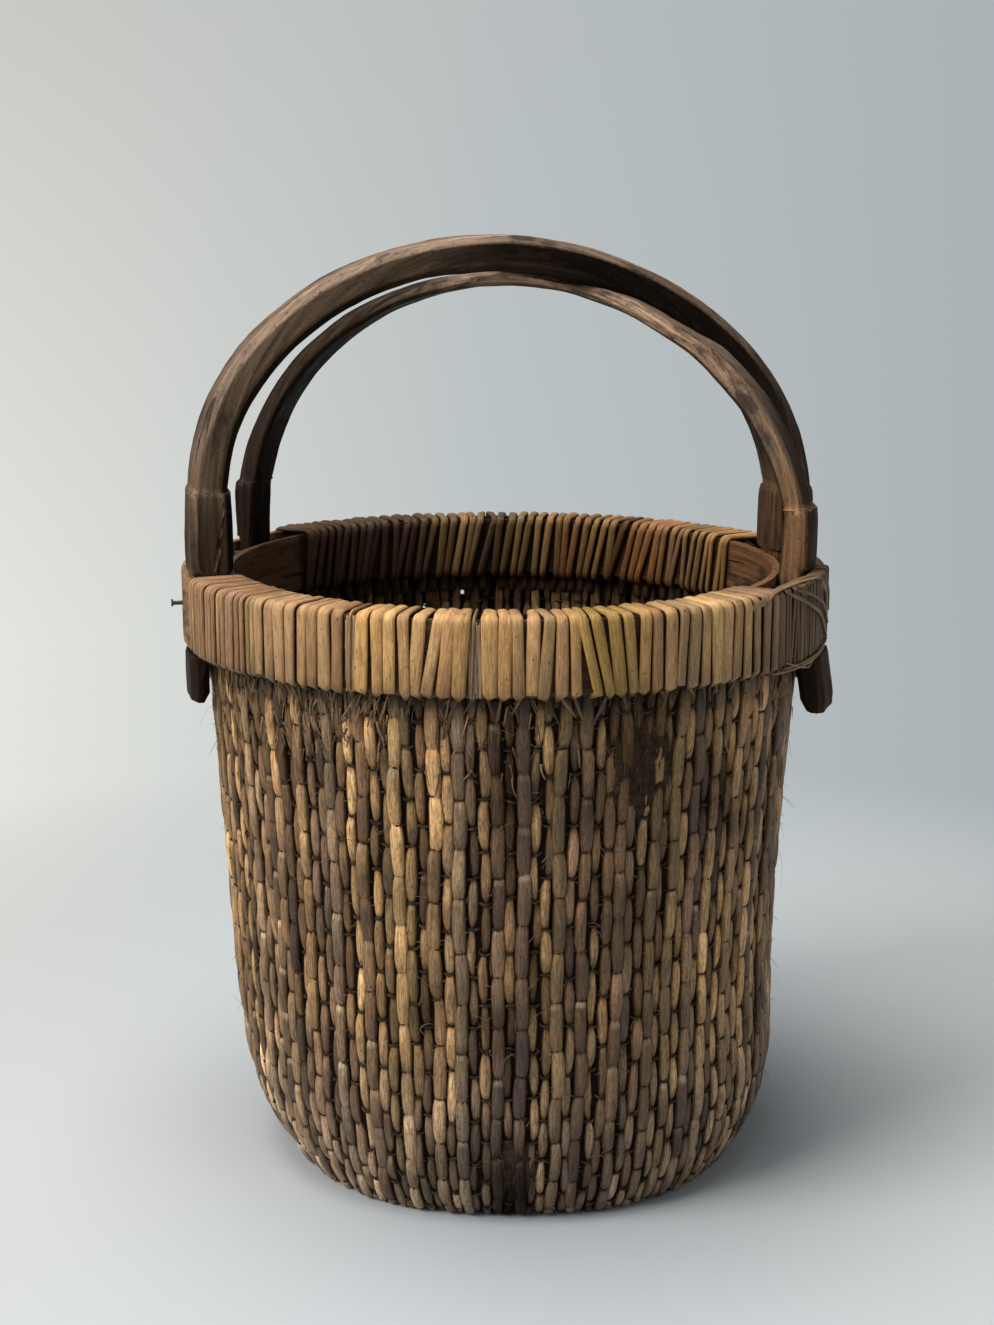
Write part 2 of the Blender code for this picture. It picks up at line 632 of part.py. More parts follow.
def make_nail(hoop, finish):
    """Bent-over nail stub, standing in its hole through the outer hoop against the bow end."""
    outward = Vector((math.cos(NAIL_ANGLE), math.sin(NAIL_ANGLE), 0))
    tilt = outward.to_track_quat("Z", "Y")
    height = HOOP_TOP - NAIL_DROP
    face = oval_radius(OUTER_FACE, NAIL_ANGLE)
    point = oval_radius(OUTER_HOOP_BORE, NAIL_ANGLE)
    end = face + NAIL_STANDS_OUT

    def ring(mesh_builder, radius, distance):
        made = bmesh.ops.create_circle(mesh_builder, segments=NAIL_SIDES, radius=radius)["verts"]
        for corner in made:
            corner.co = tilt @ corner.co + outward * distance + Vector((0, 0, height))
        return made

    def turned(profile):
        mesh_builder = bmesh.new()
        rows = [ring(mesh_builder, radius, distance) for radius, distance in profile]
        for near, far in zip(rows, rows[1:]):
            skin_rings(mesh_builder, near, far)
        mesh_builder.faces.new(rows[0][::-1])
        mesh_builder.faces.new(rows[-1])
        return mesh_builder

    shank = [(NAIL_RADIUS, point), (NAIL_RADIUS, end - NAIL_HEAD_THICK),
             (NAIL_HEAD_RADIUS, end - NAIL_HEAD_THICK), (NAIL_HEAD_RADIUS, end)]
    nail = add_object("hoop_nail", turned(shank), finish)
    bore = [(NAIL_RADIUS + TOUCH, face - 2 * OUTER_HOOP_THICK), (NAIL_RADIUS + TOUCH, end)]
    cutter = add_object("hoop_nail_hole", turned(bore), finish)
    cutter.hide_render = True
    cutter.display_type = "WIRE"
    cut = hoop.modifiers.new("nail_hole", "BOOLEAN")
    cut.operation = "DIFFERENCE"
    cut.solver = "EXACT"
    cut.object = cutter
    return nail


def main():
    clear_scene()
    rods = material("willow_rods", (0.235, 0.140, 0.062), 0.62)
    old_wood = material("bent_wood", (0.170, 0.105, 0.066), 0.55)
    dark_wood = material("dark_bent_wood", (0.115, 0.068, 0.043), 0.58)
    slat = material("hoop_slat", (0.150, 0.085, 0.050), 0.60)
    golden = material("split_golden", (0.390, 0.245, 0.115), 0.48)
    tan = material("split_tan", (0.340, 0.200, 0.100), 0.50)
    brown = material("split_brown", (0.170, 0.085, 0.045), 0.50)
    olive = material("split_olive", (0.215, 0.145, 0.050), 0.50)
    grey_brown = material("lashing_brown", (0.165, 0.105, 0.065), 0.55)
    iron = material("nail_iron", (0.060, 0.045, 0.038), 0.60, 0.6)

    make_wall(rods)
    make_foot(rods)
    make_base(rods)
    make_hoop("inner_hoop", INNER_FACE, INNER_HOOP_THICK, INNER_HOOP_FOOT, INNER_SEAM, slat)
    outer = make_hoop("outer_hoop", OUTER_HOOP_BORE, OUTER_HOOP_THICK, OUTER_HOOP_FOOT, OUTER_SEAM, slat)
    make_bow("outer_handle_bow", OUTER_BOW, old_wood)
    make_bow("inner_handle_bow", INNER_BOW, dark_wood, over=OUTER_BOW)
    make_binding("front", FRONT_TURNS, FRONT_SPLITS, [golden, tan, golden, olive, tan])
    make_binding("back", BACK_TURNS, BACK_SPLITS, [brown, brown, olive, olive, brown])
    make_split("right_lashing", [lashing_turn(i) for i in range(LASHING_TURNS)], 0, grey_brown)
    make_nail(outer, iron)


main()
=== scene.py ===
"""Looks of the harvest basket: woven willow rods on twine, bound rim, bentwood bows, floor, light and camera.

Metres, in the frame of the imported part: +Z up, the front towards -Y, angles counted from +X.
"""

import math

import bmesh
import bpy
import numpy as np
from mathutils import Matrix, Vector, noise
from mathutils.bvhtree import BVHTree


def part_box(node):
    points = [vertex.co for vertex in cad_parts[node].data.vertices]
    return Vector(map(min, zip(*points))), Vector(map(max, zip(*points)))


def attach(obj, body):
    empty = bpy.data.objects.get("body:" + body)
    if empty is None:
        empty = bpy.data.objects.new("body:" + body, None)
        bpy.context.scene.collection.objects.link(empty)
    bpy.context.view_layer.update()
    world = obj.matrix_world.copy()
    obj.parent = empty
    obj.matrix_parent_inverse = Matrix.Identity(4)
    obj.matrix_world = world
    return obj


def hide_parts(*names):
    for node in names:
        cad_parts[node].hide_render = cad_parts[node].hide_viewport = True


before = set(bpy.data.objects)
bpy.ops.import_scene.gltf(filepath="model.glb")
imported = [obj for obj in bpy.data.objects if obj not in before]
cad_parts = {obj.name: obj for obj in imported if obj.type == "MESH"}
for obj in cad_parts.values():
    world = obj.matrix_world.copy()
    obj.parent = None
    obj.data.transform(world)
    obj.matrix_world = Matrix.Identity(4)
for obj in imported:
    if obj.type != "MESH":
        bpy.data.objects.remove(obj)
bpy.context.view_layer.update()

TAU = 2 * math.pi
FRONT = -math.pi / 2
UP = np.array([0.0, 0.0, 1.0])
RNG = np.random.default_rng(11)

# Seeds of the pieces that have random numbers of their own
FRONT_SEED = 40
BACK_SEED = 50
LASH_SEED = 77
STRAND_SEED = 31
FUZZ_SEED = 5

RAY_START = 0.6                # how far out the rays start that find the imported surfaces

# Rim, from the frame
OUTER_LOW, OUTER_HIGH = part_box("outer_hoop")
INNER_LOW, INNER_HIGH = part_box("inner_hoop")
HOOP_TOP = OUTER_HIGH.z
OUTER_FOOT = OUTER_LOW.z
INNER_FOOT = INNER_LOW.z
OUTER_FACE = (OUTER_HIGH.x, OUTER_HIGH.y)
OUTER_THICK = 0.0050
INNER_THICK = 0.0040
OUTER_BORE = (OUTER_FACE[0] - OUTER_THICK, OUTER_FACE[1] - OUTER_THICK)
INNER_BACK = (INNER_HIGH.x, INNER_HIGH.y)
INNER_FACE = (INNER_BACK[0] - INNER_THICK, INNER_BACK[1] - INNER_THICK)
CLEAR = 0.0003                 # clearance between pieces that touch

# Weave
WEAVE = ("willow_wall", "willow_foot")
RODS = 156
PITCH = TAU / RODS
ROD_HALF_THICK = 0.0028
PINCH_DEPTH = 0.0019           # how far the twine draws a rod in where it passes outside it
THICK_ROD = (0.0037, 0.66, 3.4)   # half width, share of it left at a pinch, bluntness of the bead ends
THIN_ROD = (0.0026, 0.34, 1.9)
PINCHED_THICK = 0.55
RECESS = 0.0019                # how far a thin rod stands back from a thick one
ROD_FULL_AT = 0.154            # wall radius at which the rods have the widths above
CREVICE_DEPTH = 0.0035         # from the rods' crests to the dark sheet of painted shade between them
WEFT_FIRST = 0.0050            # height of the lowest weft on the wall
WEFT_STEP_LOW = 0.0098         # from one weft to the next at the foot, and higher up
WEFT_STEP_HIGH = 0.0134
WEFT_STEP_GROWS = 0.070        # height by which the steps have grown
WEFT_WAVE = 0.0012
WEFT_JITTER = 0.0013
TWINE_RADIUS = 0.00062
NECK = 0.2860                  # top of the closed weave
NECK_BLEND = 0.016             # height below the neck over which the rods even out
ON_FLOOR = 0.0008              # height below which the wall lies on the floor
ROD_STEP = 0.0014              # length of a mesh step along a rod
ROD_SIDES = 10
TIP_HALF = 0.0026              # half width of a bent-over rod tip between the hoops
TIPS_BEHIND = 0.0052           # from the outer hoop's bore to the tips, which leaves room for the rod ends
TIPS_ROOM = 0.0030             # least room between the hoops for any tips
SECTORS = 6                    # the wall's rods are parted into this many meshes

# Split-willow binding
SPLIT_HALF_THICK = 0.0013
SPLIT_SEAT = 0.0008            # from a hoop's face to the middle of a split, besides the clearance
SPLIT_BEND = 0.0040            # radius of a split's bend over a hoop's edge
SPLIT_STEP = 0.0035            # length of a mesh step along a split
FRONT_PLACES = (88, 140)
BACK_PLACES = (12, 61)
SPLITS = 5

# Camera: focal length and principal point in pixels of the 994 x 1325 frame
FRAME_HEIGHT = 1325
FOCAL = 2080
SENSOR = 36.0
CAMERA_PLACE = (-0.0033, -1.1346, 0.5200)
CAMERA_DOWN = math.radians(12.45)


def smooth(share):
    share = np.clip(share, 0.0, 1.0)
    return share * share * (3 - 2 * share)


def bump(value, middle, reach):
    """1 at the middle, falling smoothly to 0 at reach to either side."""
    return smooth(1 - np.abs(value - middle) / reach)


def angle_apart(angle, other):
    return (angle - other + math.pi) % TAU - math.pi


def oval_radius(half_axes, angle):
    return 1 / np.hypot(np.cos(angle) / half_axes[0], np.sin(angle) / half_axes[1])


def polar(radius, angle, height):
    radius, angle, height = np.broadcast_arrays(radius, angle, height)
    return np.stack([radius * np.cos(angle), radius * np.sin(angle), height], -1)


def unit(vectors):
    return vectors / np.maximum(np.linalg.norm(vectors, axis=-1, keepdims=True), 1e-12)


def mixed(one, other, share):
    return np.asarray(one) * (1 - share) + np.asarray(other) * share


def at_stops(place, stops):
    """Value at a place, between stops of (place, value)."""
    return np.interp(place, *zip(*stops))


def summed(steps):
    """How far along each point is, from the steps between them."""
    return np.concatenate([[0], np.cumsum(steps)])


def running_mean(values, reach):
    """Mean of each value and its neighbours, as many as reach to either side."""
    count = 2 * reach + 1
    return np.convolve(np.pad(values, reach, mode="edge"), np.ones(count) / count, mode="valid")


def evened(line, rounds):
    """The line with its inner points drawn towards their neighbours."""
    for _ in range(rounds):
        line[1:-1] = line[:-2] / 4 + line[1:-1] / 2 + line[2:] / 4
    return line


def section_turns(sides):
    """Angles of the corners of a tube's section, from the one that faces outward."""
    return np.arange(sides) * TAU / sides


def placed(name, data):
    made = bpy.data.objects.new(name, data)
    bpy.context.scene.collection.objects.link(made)
    return made


def add_piece(name, mesh, finish, nodes, layers):
    """Makes a mesh a piece of the basket. layers are the grain, tint and dirt at its points; on some pieces
    the tint holds painted light, and the dirt layer holds painted shade as well as soiling.
    """
    mesh.shade_smooth()
    grain, tint, dirt_and_painted_shade = layers
    tint = np.concatenate([tint, np.ones((len(tint), 1))], 1)
    for layer, kind, field, values in (("grain", "FLOAT_VECTOR", "vector", grain),
                                       ("tint", "FLOAT_COLOR", "color", tint),
                                       ("dirt_and_painted_shade", "FLOAT", "value", dirt_and_painted_shade)):
        values = np.asarray(values, np.float32).ravel()
        mesh.attributes.new(layer, kind, "POINT").data.foreach_set(field, values)
    mesh.materials.append(finish)
    piece = placed(name, mesh)
    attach(piece, "root")
    if nodes:
        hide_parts(*nodes)


class Skin:
    """Gathers tubes and sheets into one mesh, with what the materials read at each point.

    grain is a place on the piece's own surface: metres across the grain, metres along it, and a number
    for the rod or split. tint is its colour, with painted light in it on some pieces, and dirt runs from 0
    to 1 in the crevices, where it stands for soiling and painted shade together.
    """

    def __init__(self):
        self.points = []
        self.corners = []
        self.sizes = []
        self.grain = []
        self.tint = []
        self.dirt_and_painted_shade = []
        self.count = 0

    def quads(self, points, corners):
        """Adds clean, untinted faces with four corners each."""
        self.points.append(points)
        self.corners.append((corners + self.count).ravel())
        self.sizes.append(np.full(len(corners), 4))
        self.grain.append(points)
        self.tint.append(np.ones((len(points), 3)))
        self.dirt_and_painted_shade.append(np.zeros(len(points)))
        self.count += len(points)

    def tube(self, path, outward, thick, width, tint, dirt_and_painted_shade, mark, sides=ROD_SIDES, square=(1.0, 1.0),
             closed=False):
        """Tube along path. thick and width are half sizes, and square below 1 makes the section boxier."""
        count = len(path)
        along = np.roll(path, -1, 0) - np.roll(path, 1, 0) if closed else np.gradient(path, axis=0)
        along = unit(along)
        outward = unit(outward - (outward * along).sum(-1, keepdims=True) * along)
        across = np.cross(along, outward)
        turn = section_turns(sides)
        c, s = np.cos(turn), np.sin(turn)
        c = np.sign(c) * np.abs(c) ** square[0]
        s = np.sign(s) * np.abs(s) ** square[1]
        thick = np.broadcast_to(thick, count)[:, None, None]
        width = np.broadcast_to(width, count)[:, None, None]
        rings = path[:, None] + outward[:, None] * thick * c[None, :, None]
        rings = rings + across[:, None] * width * s[None, :, None]
        index = self.count + np.arange(count * sides).reshape(count, sides)
        near = index if closed else index[:-1]
        far = np.roll(index, -1, 0) if closed else index[1:]
        quads = np.stack([near, np.roll(near, -1, 1), np.roll(far, -1, 1), far], -1)
        self.corners.append(quads.ravel())
        self.sizes.append(np.full(near.size, 4))
        if not closed:
            self.corners += [index[0, ::-1], index[-1]]
            self.sizes.append(np.array([sides, sides]))
        grain = np.zeros((count, sides, 3))
        grain[:, :, 0] = width[:, :, 0] * np.sin(((turn + math.pi) % TAU - math.pi) / 2)[None, :] * 2
        grain[:, :, 1] = summed(np.linalg.norm(np.diff(path, axis=0), axis=1))[:, None]
        grain[:, :, 2] = mark
        self.points.append(rings.reshape(-1, 3))
        self.grain.append(grain.reshape(-1, 3))
        self.tint.append(np.repeat(np.broadcast_to(tint, (count, 3)), sides, 0))
        if np.ndim(dirt_and_painted_shade) == 1:
            dirt_and_painted_shade = dirt_and_painted_shade[:, None]
        self.dirt_and_painted_shade.append(np.broadcast_to(dirt_and_painted_shade, (count, sides)).ravel())
        self.count += count * sides

    def build(self, name, finish, nodes=()):
        mesh = bpy.data.meshes.new(name)
        points, corners, sizes = (np.concatenate(part) for part in (self.points, self.corners, self.sizes))
        mesh.vertices.add(len(points))
        mesh.vertices.foreach_set("co", points.astype(np.float32).ravel())
        mesh.loops.add(len(corners))
        mesh.loops.foreach_set("vertex_index", corners.astype(np.int32))
        mesh.polygons.add(len(sizes))
        mesh.polygons.foreach_set("loop_start", summed(sizes[:-1]).astype(np.int32))
        mesh.update(calc_edges=True)
        layers = [np.concatenate(part) for part in (self.grain, self.tint, self.dirt_and_painted_shade)]
        add_piece(name, mesh, finish, nodes, layers)


class Nodes:
    """Short hand for building a tree of nodes."""

    def __init__(self, tree):
        self.tree = tree

    def link(self, start, end):
        self.tree.links.new(start, end)

    def add(self, kind, inputs=(), **settings):
        node = self.tree.nodes.new(kind)
        for key, value in settings.items():
            setattr(node, key, value)
        for key, value in dict(inputs).items():
            self.feed(node.inputs[key], value)
        return node

    def feed(self, socket, value):
        if isinstance(value, bpy.types.NodeSocket):
            self.link(value, socket)
        else:
            socket.default_value = value

    def noise(self, vector, scale, detail=3.0, roughness=0.55, distortion=0.0):
        place = self.add("ShaderNodeVectorMath", {0: vector, 1: scale}, operation="MULTIPLY").outputs[0]
        made = self.add("ShaderNodeTexNoise", {"Vector": place, "Scale": 1.0, "Detail": detail,
                                               "Roughness": roughness, "Distortion": distortion})
        return made.outputs["Fac"]

    def ramp(self, value, stops):
        made = self.add("ShaderNodeValToRGB", {"Fac": value})
        ramp = made.color_ramp
        while len(ramp.elements) < len(stops):
            ramp.elements.new(0.5)
        for element, (place, colour) in zip(ramp.elements, stops):
            element.position = place
            element.color = (*colour, 1.0)
        return made.outputs["Color"]

    def grey(self, value, low, high, start=0.0, stop=1.0):
        made = self.add("ShaderNodeMapRange", {"Value": value, "From Min": start, "From Max": stop,
                                               "To Min": low, "To Max": high})
        return made.outputs["Result"]

    def maths(self, operation, one, other):
        return self.add("ShaderNodeMath", {0: one, 1: other}, operation=operation).outputs[0]

    def mix(self, share, one, other, how="MIX"):
        made = self.add("ShaderNodeMix", data_type="RGBA", blend_type=how, clamp_factor=True)
        for key, value in (("Factor", share), ("A", one), ("B", other)):
            socket = next(s for s in made.inputs if s.name == key and s.enabled)
            self.feed(socket, (*value, 1.0) if isinstance(value, tuple) else value)
        return next(s for s in made.outputs if s.enabled)


class Finish(Nodes):
    """Nodes of a material, which reads the grain, tint and dirt of its piece."""

    def __init__(self, name):
        self.material = bpy.data.materials.new(name)
        self.material.use_nodes = True
        super().__init__(self.material.node_tree)
        self.shader = self.tree.nodes["Principled BSDF"]

    def layer(self, name, output):
        return self.add("ShaderNodeAttribute", attribute_name=name).outputs[output]

    def layers(self):
        return self.layer("grain", "Vector"), self.layer("tint", "Color"), self.layer("dirt_and_painted_shade", "Fac")

    def finish(self, colour, roughness, shine, height, depth):
        relief = self.add("ShaderNodeBump", {"Height": height, "Distance": depth})
        for name, value in (("Base Color", colour), ("Roughness", roughness), ("Specular IOR Level", shine),
                            ("Normal", relief.outputs["Normal"])):
            self.link(value, self.shader.inputs[name])
        return self.material


DARK = (0.012, 0.008, 0.005)   # what fills the crevices as soiling and painted shade, and the colour of spots, pores, cracks and grit
# Colour of stains and spots on the wood, and of the painted shade that the wood's dirt layer brings
WOOD_DIRT_AND_SHADE = (0.026, 0.016, 0.011)


def willow_finish(name, streak=0.85, blotch=0.75, rough=(0.38, 0.70), chafe=0.80, depth=0.00065):
    """Dry peeled willow: streaks along the grain, darker blotches, soiling and painted shade in the crevices.
    """
    made = Finish(name)
    grain, tint, dirt_and_painted_shade = made.layers()
    fine = made.noise(grain, (2600.0, 90.0, 37.0), detail=4.0)
    broad = made.noise(grain, (420.0, 55.0, 23.0), distortion=0.6)
    chafed = made.noise(grain, (1100.0, 260.0, 43.0), detail=5.0, roughness=0.7)
    spots = made.noise(grain, (700.0, 420.0, 51.0), detail=2.0)
    streaks = made.ramp(fine, [(0.30, (0.34, 0.27, 0.24)), (0.46, (0.90, 0.86, 0.82)),
                               (0.70, (1.38, 1.34, 1.26))])
    blotches = made.ramp(broad, [(0.30, (0.42, 0.38, 0.36)), (0.55, (1.0, 1.0, 1.0))])
    rubbed = made.ramp(chafed, [(0.36, (0.42, 0.38, 0.35)), (0.48, (0.95, 0.93, 0.92)),
                                (0.62, (1.25, 1.27, 1.30))])
    colour = tint
    for share, shade in ((streak, streaks), (blotch, blotches), (chafe, rubbed)):
        colour = made.mix(share, colour, shade, "MULTIPLY")
    colour = made.mix(made.grey(spots, 0.0, 0.85, 0.66, 0.76), colour, DARK)
    # the dirt layer, soiling and painted shade together, darkens the colour towards DARK
    uneven = made.maths("ADD", dirt_and_painted_shade, made.grey(broad, -0.22, 0.22, 0.2, 0.8))
    colour = made.mix(made.grey(uneven, 0.0, 0.93, 0.25, 1.0), colour, DARK)
    roughness = made.grey(broad, *rough, 0.3, 0.7)
    shine = made.grey(uneven, 0.50, 0.03, 0.0, 0.6)
    height = made.maths("ADD", fine, made.maths("ADD", made.maths("MULTIPLY", spots, 0.5), chafed))
    return made.finish(colour, roughness, shine, height, depth)


def wood_finish(name, light, middle, dark, rough=(0.72, 0.42)):
    """Old shaved wood: long grain, cracks and stains, lighter on the worn arrises, with painted light and
    shade from its tint and dirt layers.
    """
    made = Finish(name)
    grain, tint, dirt_and_painted_shade = made.layers()
    long_grain = made.noise(grain, (420.0, 9.0, 420.0), detail=6.0, roughness=0.62, distortion=0.4)
    stains = made.noise(grain, (70.0, 22.0, 70.0), detail=5.0, roughness=0.65)
    pores = made.noise(grain, (1500.0, 110.0, 1500.0))
    cracks = made.noise(grain, (260.0, 5.0, 260.0), detail=4.0, roughness=0.5, distortion=0.9)
    spots = made.noise(grain, (620.0, 380.0, 620.0), detail=2.0)
    split = made.grey(cracks, 0.9, 0.0, 0.305, 0.345)
    uneven = made.maths("ADD", dirt_and_painted_shade, made.grey(stains, -0.25, 0.25, 0.3, 0.7))
    colour = made.ramp(long_grain, [(0.28, dark), (0.48, middle), (0.72, light)])
    # the tint brings in painted light and shade: facet by facet on the bows, under the binding on the hoops
    colour = made.mix(1.0, colour, tint, "MULTIPLY")
    for share, cover in ((made.grey(stains, 0.85, 0.0, 0.38, 0.49), WOOD_DIRT_AND_SHADE),
                         (made.grey(pores, 0.55, 0.0, 0.30, 0.42), DARK),
                         (made.grey(spots, 0.0, 0.75, 0.62, 0.70), WOOD_DIRT_AND_SHADE), (split, DARK),
                         (made.grey(uneven, 0.0, 0.94, 0.25, 1.0), WOOD_DIRT_AND_SHADE)):
        colour = made.mix(share, colour, cover)
    height = made.maths("SUBTRACT", long_grain, made.maths("MULTIPLY", split, 0.6))
    height = made.maths("ADD", height, made.maths("MULTIPLY", pores, 0.35))
    return made.finish(colour, made.grey(stains, *rough, 0.35, 0.65), made.grey(tint, 0.02, 0.30, 0.0, 0.8),
                       height, 0.0006)


def mud_finish(name, light=1.0):
    """Crumbly dried mud."""
    made = Finish(name)
    grain = made.layer("grain", "Vector")
    lumps = made.noise(grain, (260.0, 260.0, 260.0), detail=6.0, roughness=0.7)
    grit = made.noise(grain, (1500.0, 1500.0, 1500.0))
    stops = ((0.3, (0.020, 0.012, 0.008)), (0.5, (0.052, 0.031, 0.020)), (0.72, (0.095, 0.060, 0.039)))
    colour = made.ramp(lumps, [(stop, tuple(light * part for part in tone)) for stop, tone in stops])
    colour = made.mix(made.grey(grit, 0.35, 0.0, 0.3, 0.5), colour, DARK)
    return made.finish(colour, made.grey(lumps, 0.95, 0.8, 0.3, 0.7), made.grey(grit, 0.02, 0.10),
                       made.maths("ADD", lumps, grit), 0.0007)


def iron_finish(name):
    """Dark iron with rust on it."""
    made = Finish(name)
    rust = made.noise(made.layer("grain", "Vector"), (900.0, 900.0, 900.0), detail=5.0, roughness=0.7)
    colour = made.ramp(rust, [(0.35, (0.040, 0.045, 0.060)), (0.55, (0.085, 0.080, 0.088)),
                              (0.7, (0.120, 0.055, 0.028))])
    made.shader.inputs["Metallic"].default_value = 0.7
    return made.finish(colour, made.grey(rust, 0.45, 0.85, 0.4, 0.7), made.grey(rust, 0.4, 0.6), rust, 0.0003)


class Wall:
    """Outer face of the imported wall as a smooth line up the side, found by rays, for each rod."""

    def __init__(self):
        self.wall = self.tree(*WEAVE)
        self.mat = self.tree("willow_base")

    @staticmethod
    def tree(*nodes):
        corners, faces = [], []
        for node in nodes:
            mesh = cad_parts[node].data
            faces += [[i + len(corners) for i in p.vertices] for p in mesh.polygons]
            corners += [v.co.copy() for v in mesh.vertices]
        return BVHTree.FromPolygons(corners, faces)

    @staticmethod
    def reach(tree, angle, height):
        """Radius of a surface."""
        start = Vector((math.cos(angle), math.sin(angle), 0)) * RAY_START
        start.z = height
        hit = tree.ray_cast(start, Vector((-start.x, -start.y, 0)).normalized())[0]
        return math.hypot(hit.x, hit.y)

    def crest(self, angle, height):
        """Radius of the nearest rod's crest."""
        place = (math.floor(angle / PITCH) + 0.5) * PITCH
        return self.reach(self.wall, place, height)

    def has_rod_end(self, angle):
        middle = (oval_radius(INNER_BACK, angle) + oval_radius(OUTER_BORE, angle)) / 2 - CLEAR * 4
        hit = self.wall.ray_cast(polar(middle, angle, 1.0).tolist(), Vector((0, 0, -1)))[0]
        return hit is not None and hit.z > (NECK + HOOP_TOP) / 2

    def mat_edge(self, start, towards):
        """Where a ray meets the base mat."""
        return self.mat.ray_cast(Vector(start), Vector(towards))[0]

    def profile(self, angle):
        """Radius and height of the outer face, from the mat's edge, under the foot and up to the neck."""
        heights = np.linspace(ON_FLOOR, NECK - 0.0004, 46)
        radii = np.array([self.reach(self.wall, angle, float(z)) for z in heights])
        start = self.reach(self.mat, angle, 0.004) + CLEAR
        under = [(start, 0.0), ((start + radii[0]) / 2, 0.0)]
        line = np.array([*under, *zip(radii, heights), (radii[-1], NECK)])
        length = summed(np.hypot(*np.diff(line, axis=0).T))
        steps = np.arange(0.0, length[-1], ROD_STEP)
        return evened(np.stack([np.interp(steps, length, part) for part in line.T], -1), 3)


def weft_heights():
    heights = [WEFT_FIRST]
    while heights[-1] < NECK - WEFT_STEP_HIGH:
        share = min(1.0, heights[-1] / WEFT_STEP_GROWS)
        heights.append(heights[-1] + WEFT_STEP_LOW + (WEFT_STEP_HIGH - WEFT_STEP_LOW) * share)
    return np.array(heights)


def weft_levels(wefts):
    """Height at which each weft crosses each rod."""
    k = np.arange(len(wefts))[:, None]
    angle = (np.arange(RODS)[None] + 0.5) * PITCH
    wave = WEFT_WAVE * (np.sin(3 * angle + 1.7 * k) * 0.6 + np.sin(7 * angle - 2.3 * k) * 0.4)
    return wefts[:, None] + wave + RNG.normal(0, WEFT_JITTER, wave.shape).clip(-0.0028, 0.0028)


# Stains on the outside: place round the wall in degrees, height, reach in degrees and in height, strength
STAINS = [
    (-65.0, 0.262, 9.0, 0.040, 0.60),
    (-90.0, 0.250, 3.5, 0.090, 0.45),
    (-84.0, 0.150, 4.0, 0.060, 0.30),
    (-88.0, 0.020, 7.0, 0.050, 0.85),
    (-97.0, 0.190, 3.0, 0.060, 0.25),
    (-45.0, 0.230, 6.0, 0.050, 0.35),
    (-110.0, 0.080, 5.0, 0.050, 0.20),
    (-140.0, 0.250, 12.0, 0.040, 0.25),
    (100.0, 0.180, 14.0, 0.080, 0.35),
    (20.0, 0.120, 12.0, 0.070, 0.30),
    (170.0, 0.080, 12.0, 0.070, 0.30),
]


def stain(angle, height):
    total = np.zeros(np.shape(height))
    for place, level, reach, tall, strength in STAINS:
        away = np.abs(np.degrees(angle_apart(angle, math.radians(place))))
        total = total + strength * smooth(1 - away / reach) * smooth(1 - np.abs(height - level) / tall)
    return np.clip(total, 0, 1)


def fuller(angle, height):
    """How much farther out the rods bulge than the solid at the front of the foot and on the left."""
    front = bump(abs(angle_apart(angle, FRONT)), 0.0, math.radians(70))
    left = bump(abs(angle_apart(angle, math.pi)), 0.0, math.radians(60))
    return 0.0030 * front * smooth(1 - height / 0.040) + 0.0011 * left * bump(height, 0.19, 0.09)


def weave_patches_and_painted_light(angle, height):
    """Slow change of the weave's lightness from place to place at random, with painted shade under the rim
    and towards the right, painted light on the left, darker low at the front and lighter low at the front
    left.
    """
    spot = polar(0.155, angle, height)
    patches = np.array([noise.noise(Vector(p) * 22) + 0.6 * noise.noise(Vector(p) * 60) for p in spot])
    # painted shade under the rim
    painted_rim_shade = 1 - 0.55 * smooth((height - 0.264) / 0.020) - 0.32 * smooth((height - 0.278) / 0.008)
    turn = np.degrees(angle_apart(angle, FRONT))
    # painted shade towards the right, and painted light on the left
    right = 1 - 0.22 * smooth((turn + 25) / 30) * smooth((100 - turn) / 40)
    left = 1 + 0.16 * smooth((-turn - 25) / 25) * smooth((turn + 115) / 40)
    low = 1 - 0.42 * bump(abs(turn), 0.0, 22.0) * smooth((0.075 - height) / 0.05)
    low_left = 1 + 0.22 * bump(turn, -50.0, 28.0) * smooth((0.10 - height) / 0.06)
    return np.clip(1.0 + 0.65 * patches, 0.40, 1.6) * painted_rim_shade * right * left * low * low_left


STRAW = (0.600, 0.370, 0.150)
TAN = (0.420, 0.245, 0.100)
OLIVE = (0.270, 0.172, 0.062)
BROWN = (0.230, 0.124, 0.053)
RUSSET = (0.250, 0.108, 0.040)
MAUVE = (0.180, 0.101, 0.063)
UMBER = (0.085, 0.046, 0.024)
GREYED = (0.270, 0.180, 0.102)
PALE_END_AND_GLINT = (0.660, 0.500, 0.330)    # pale worn end of some beads, with a painted glint on it
DUST = (1.12, 0.97, 0.86)          # tint of the rods low down, as a share of their grey
RUDDY = (1.12, 0.90, 0.66)         # tint of the bows' right posts, as a share of their tone
ROD_COLOURS = (STRAW, TAN, OLIVE, BROWN, MAUVE, GREYED, UMBER)
ROD_SHARES = (0.13, 0.27, 0.14, 0.20, 0.08, 0.10, 0.08)


# Rods that stand out: place round the wall in degrees, stoutness and colour
NOTABLE_RODS = [
    (-130.5, 0.90, TAN),
    (-124.0, 0.85, GREYED),
    (-117.5, 0.95, BROWN),
    (-110.6, 1.00, STRAW),
    (-103.0, 0.95, TAN),
    (-98.6, 1.10, GREYED),
    (-91.5, 0.90, MAUVE),
    (-87.0, 1.25, MAUVE),
    (-79.5, 1.00, OLIVE),
    (-75.0, 0.90, BROWN),
    (-68.5, 0.95, BROWN),
    (-56.5, 0.80, OLIVE),
    (-47.0, 0.90, STRAW),
    (-41.0, 0.85, TAN),
]


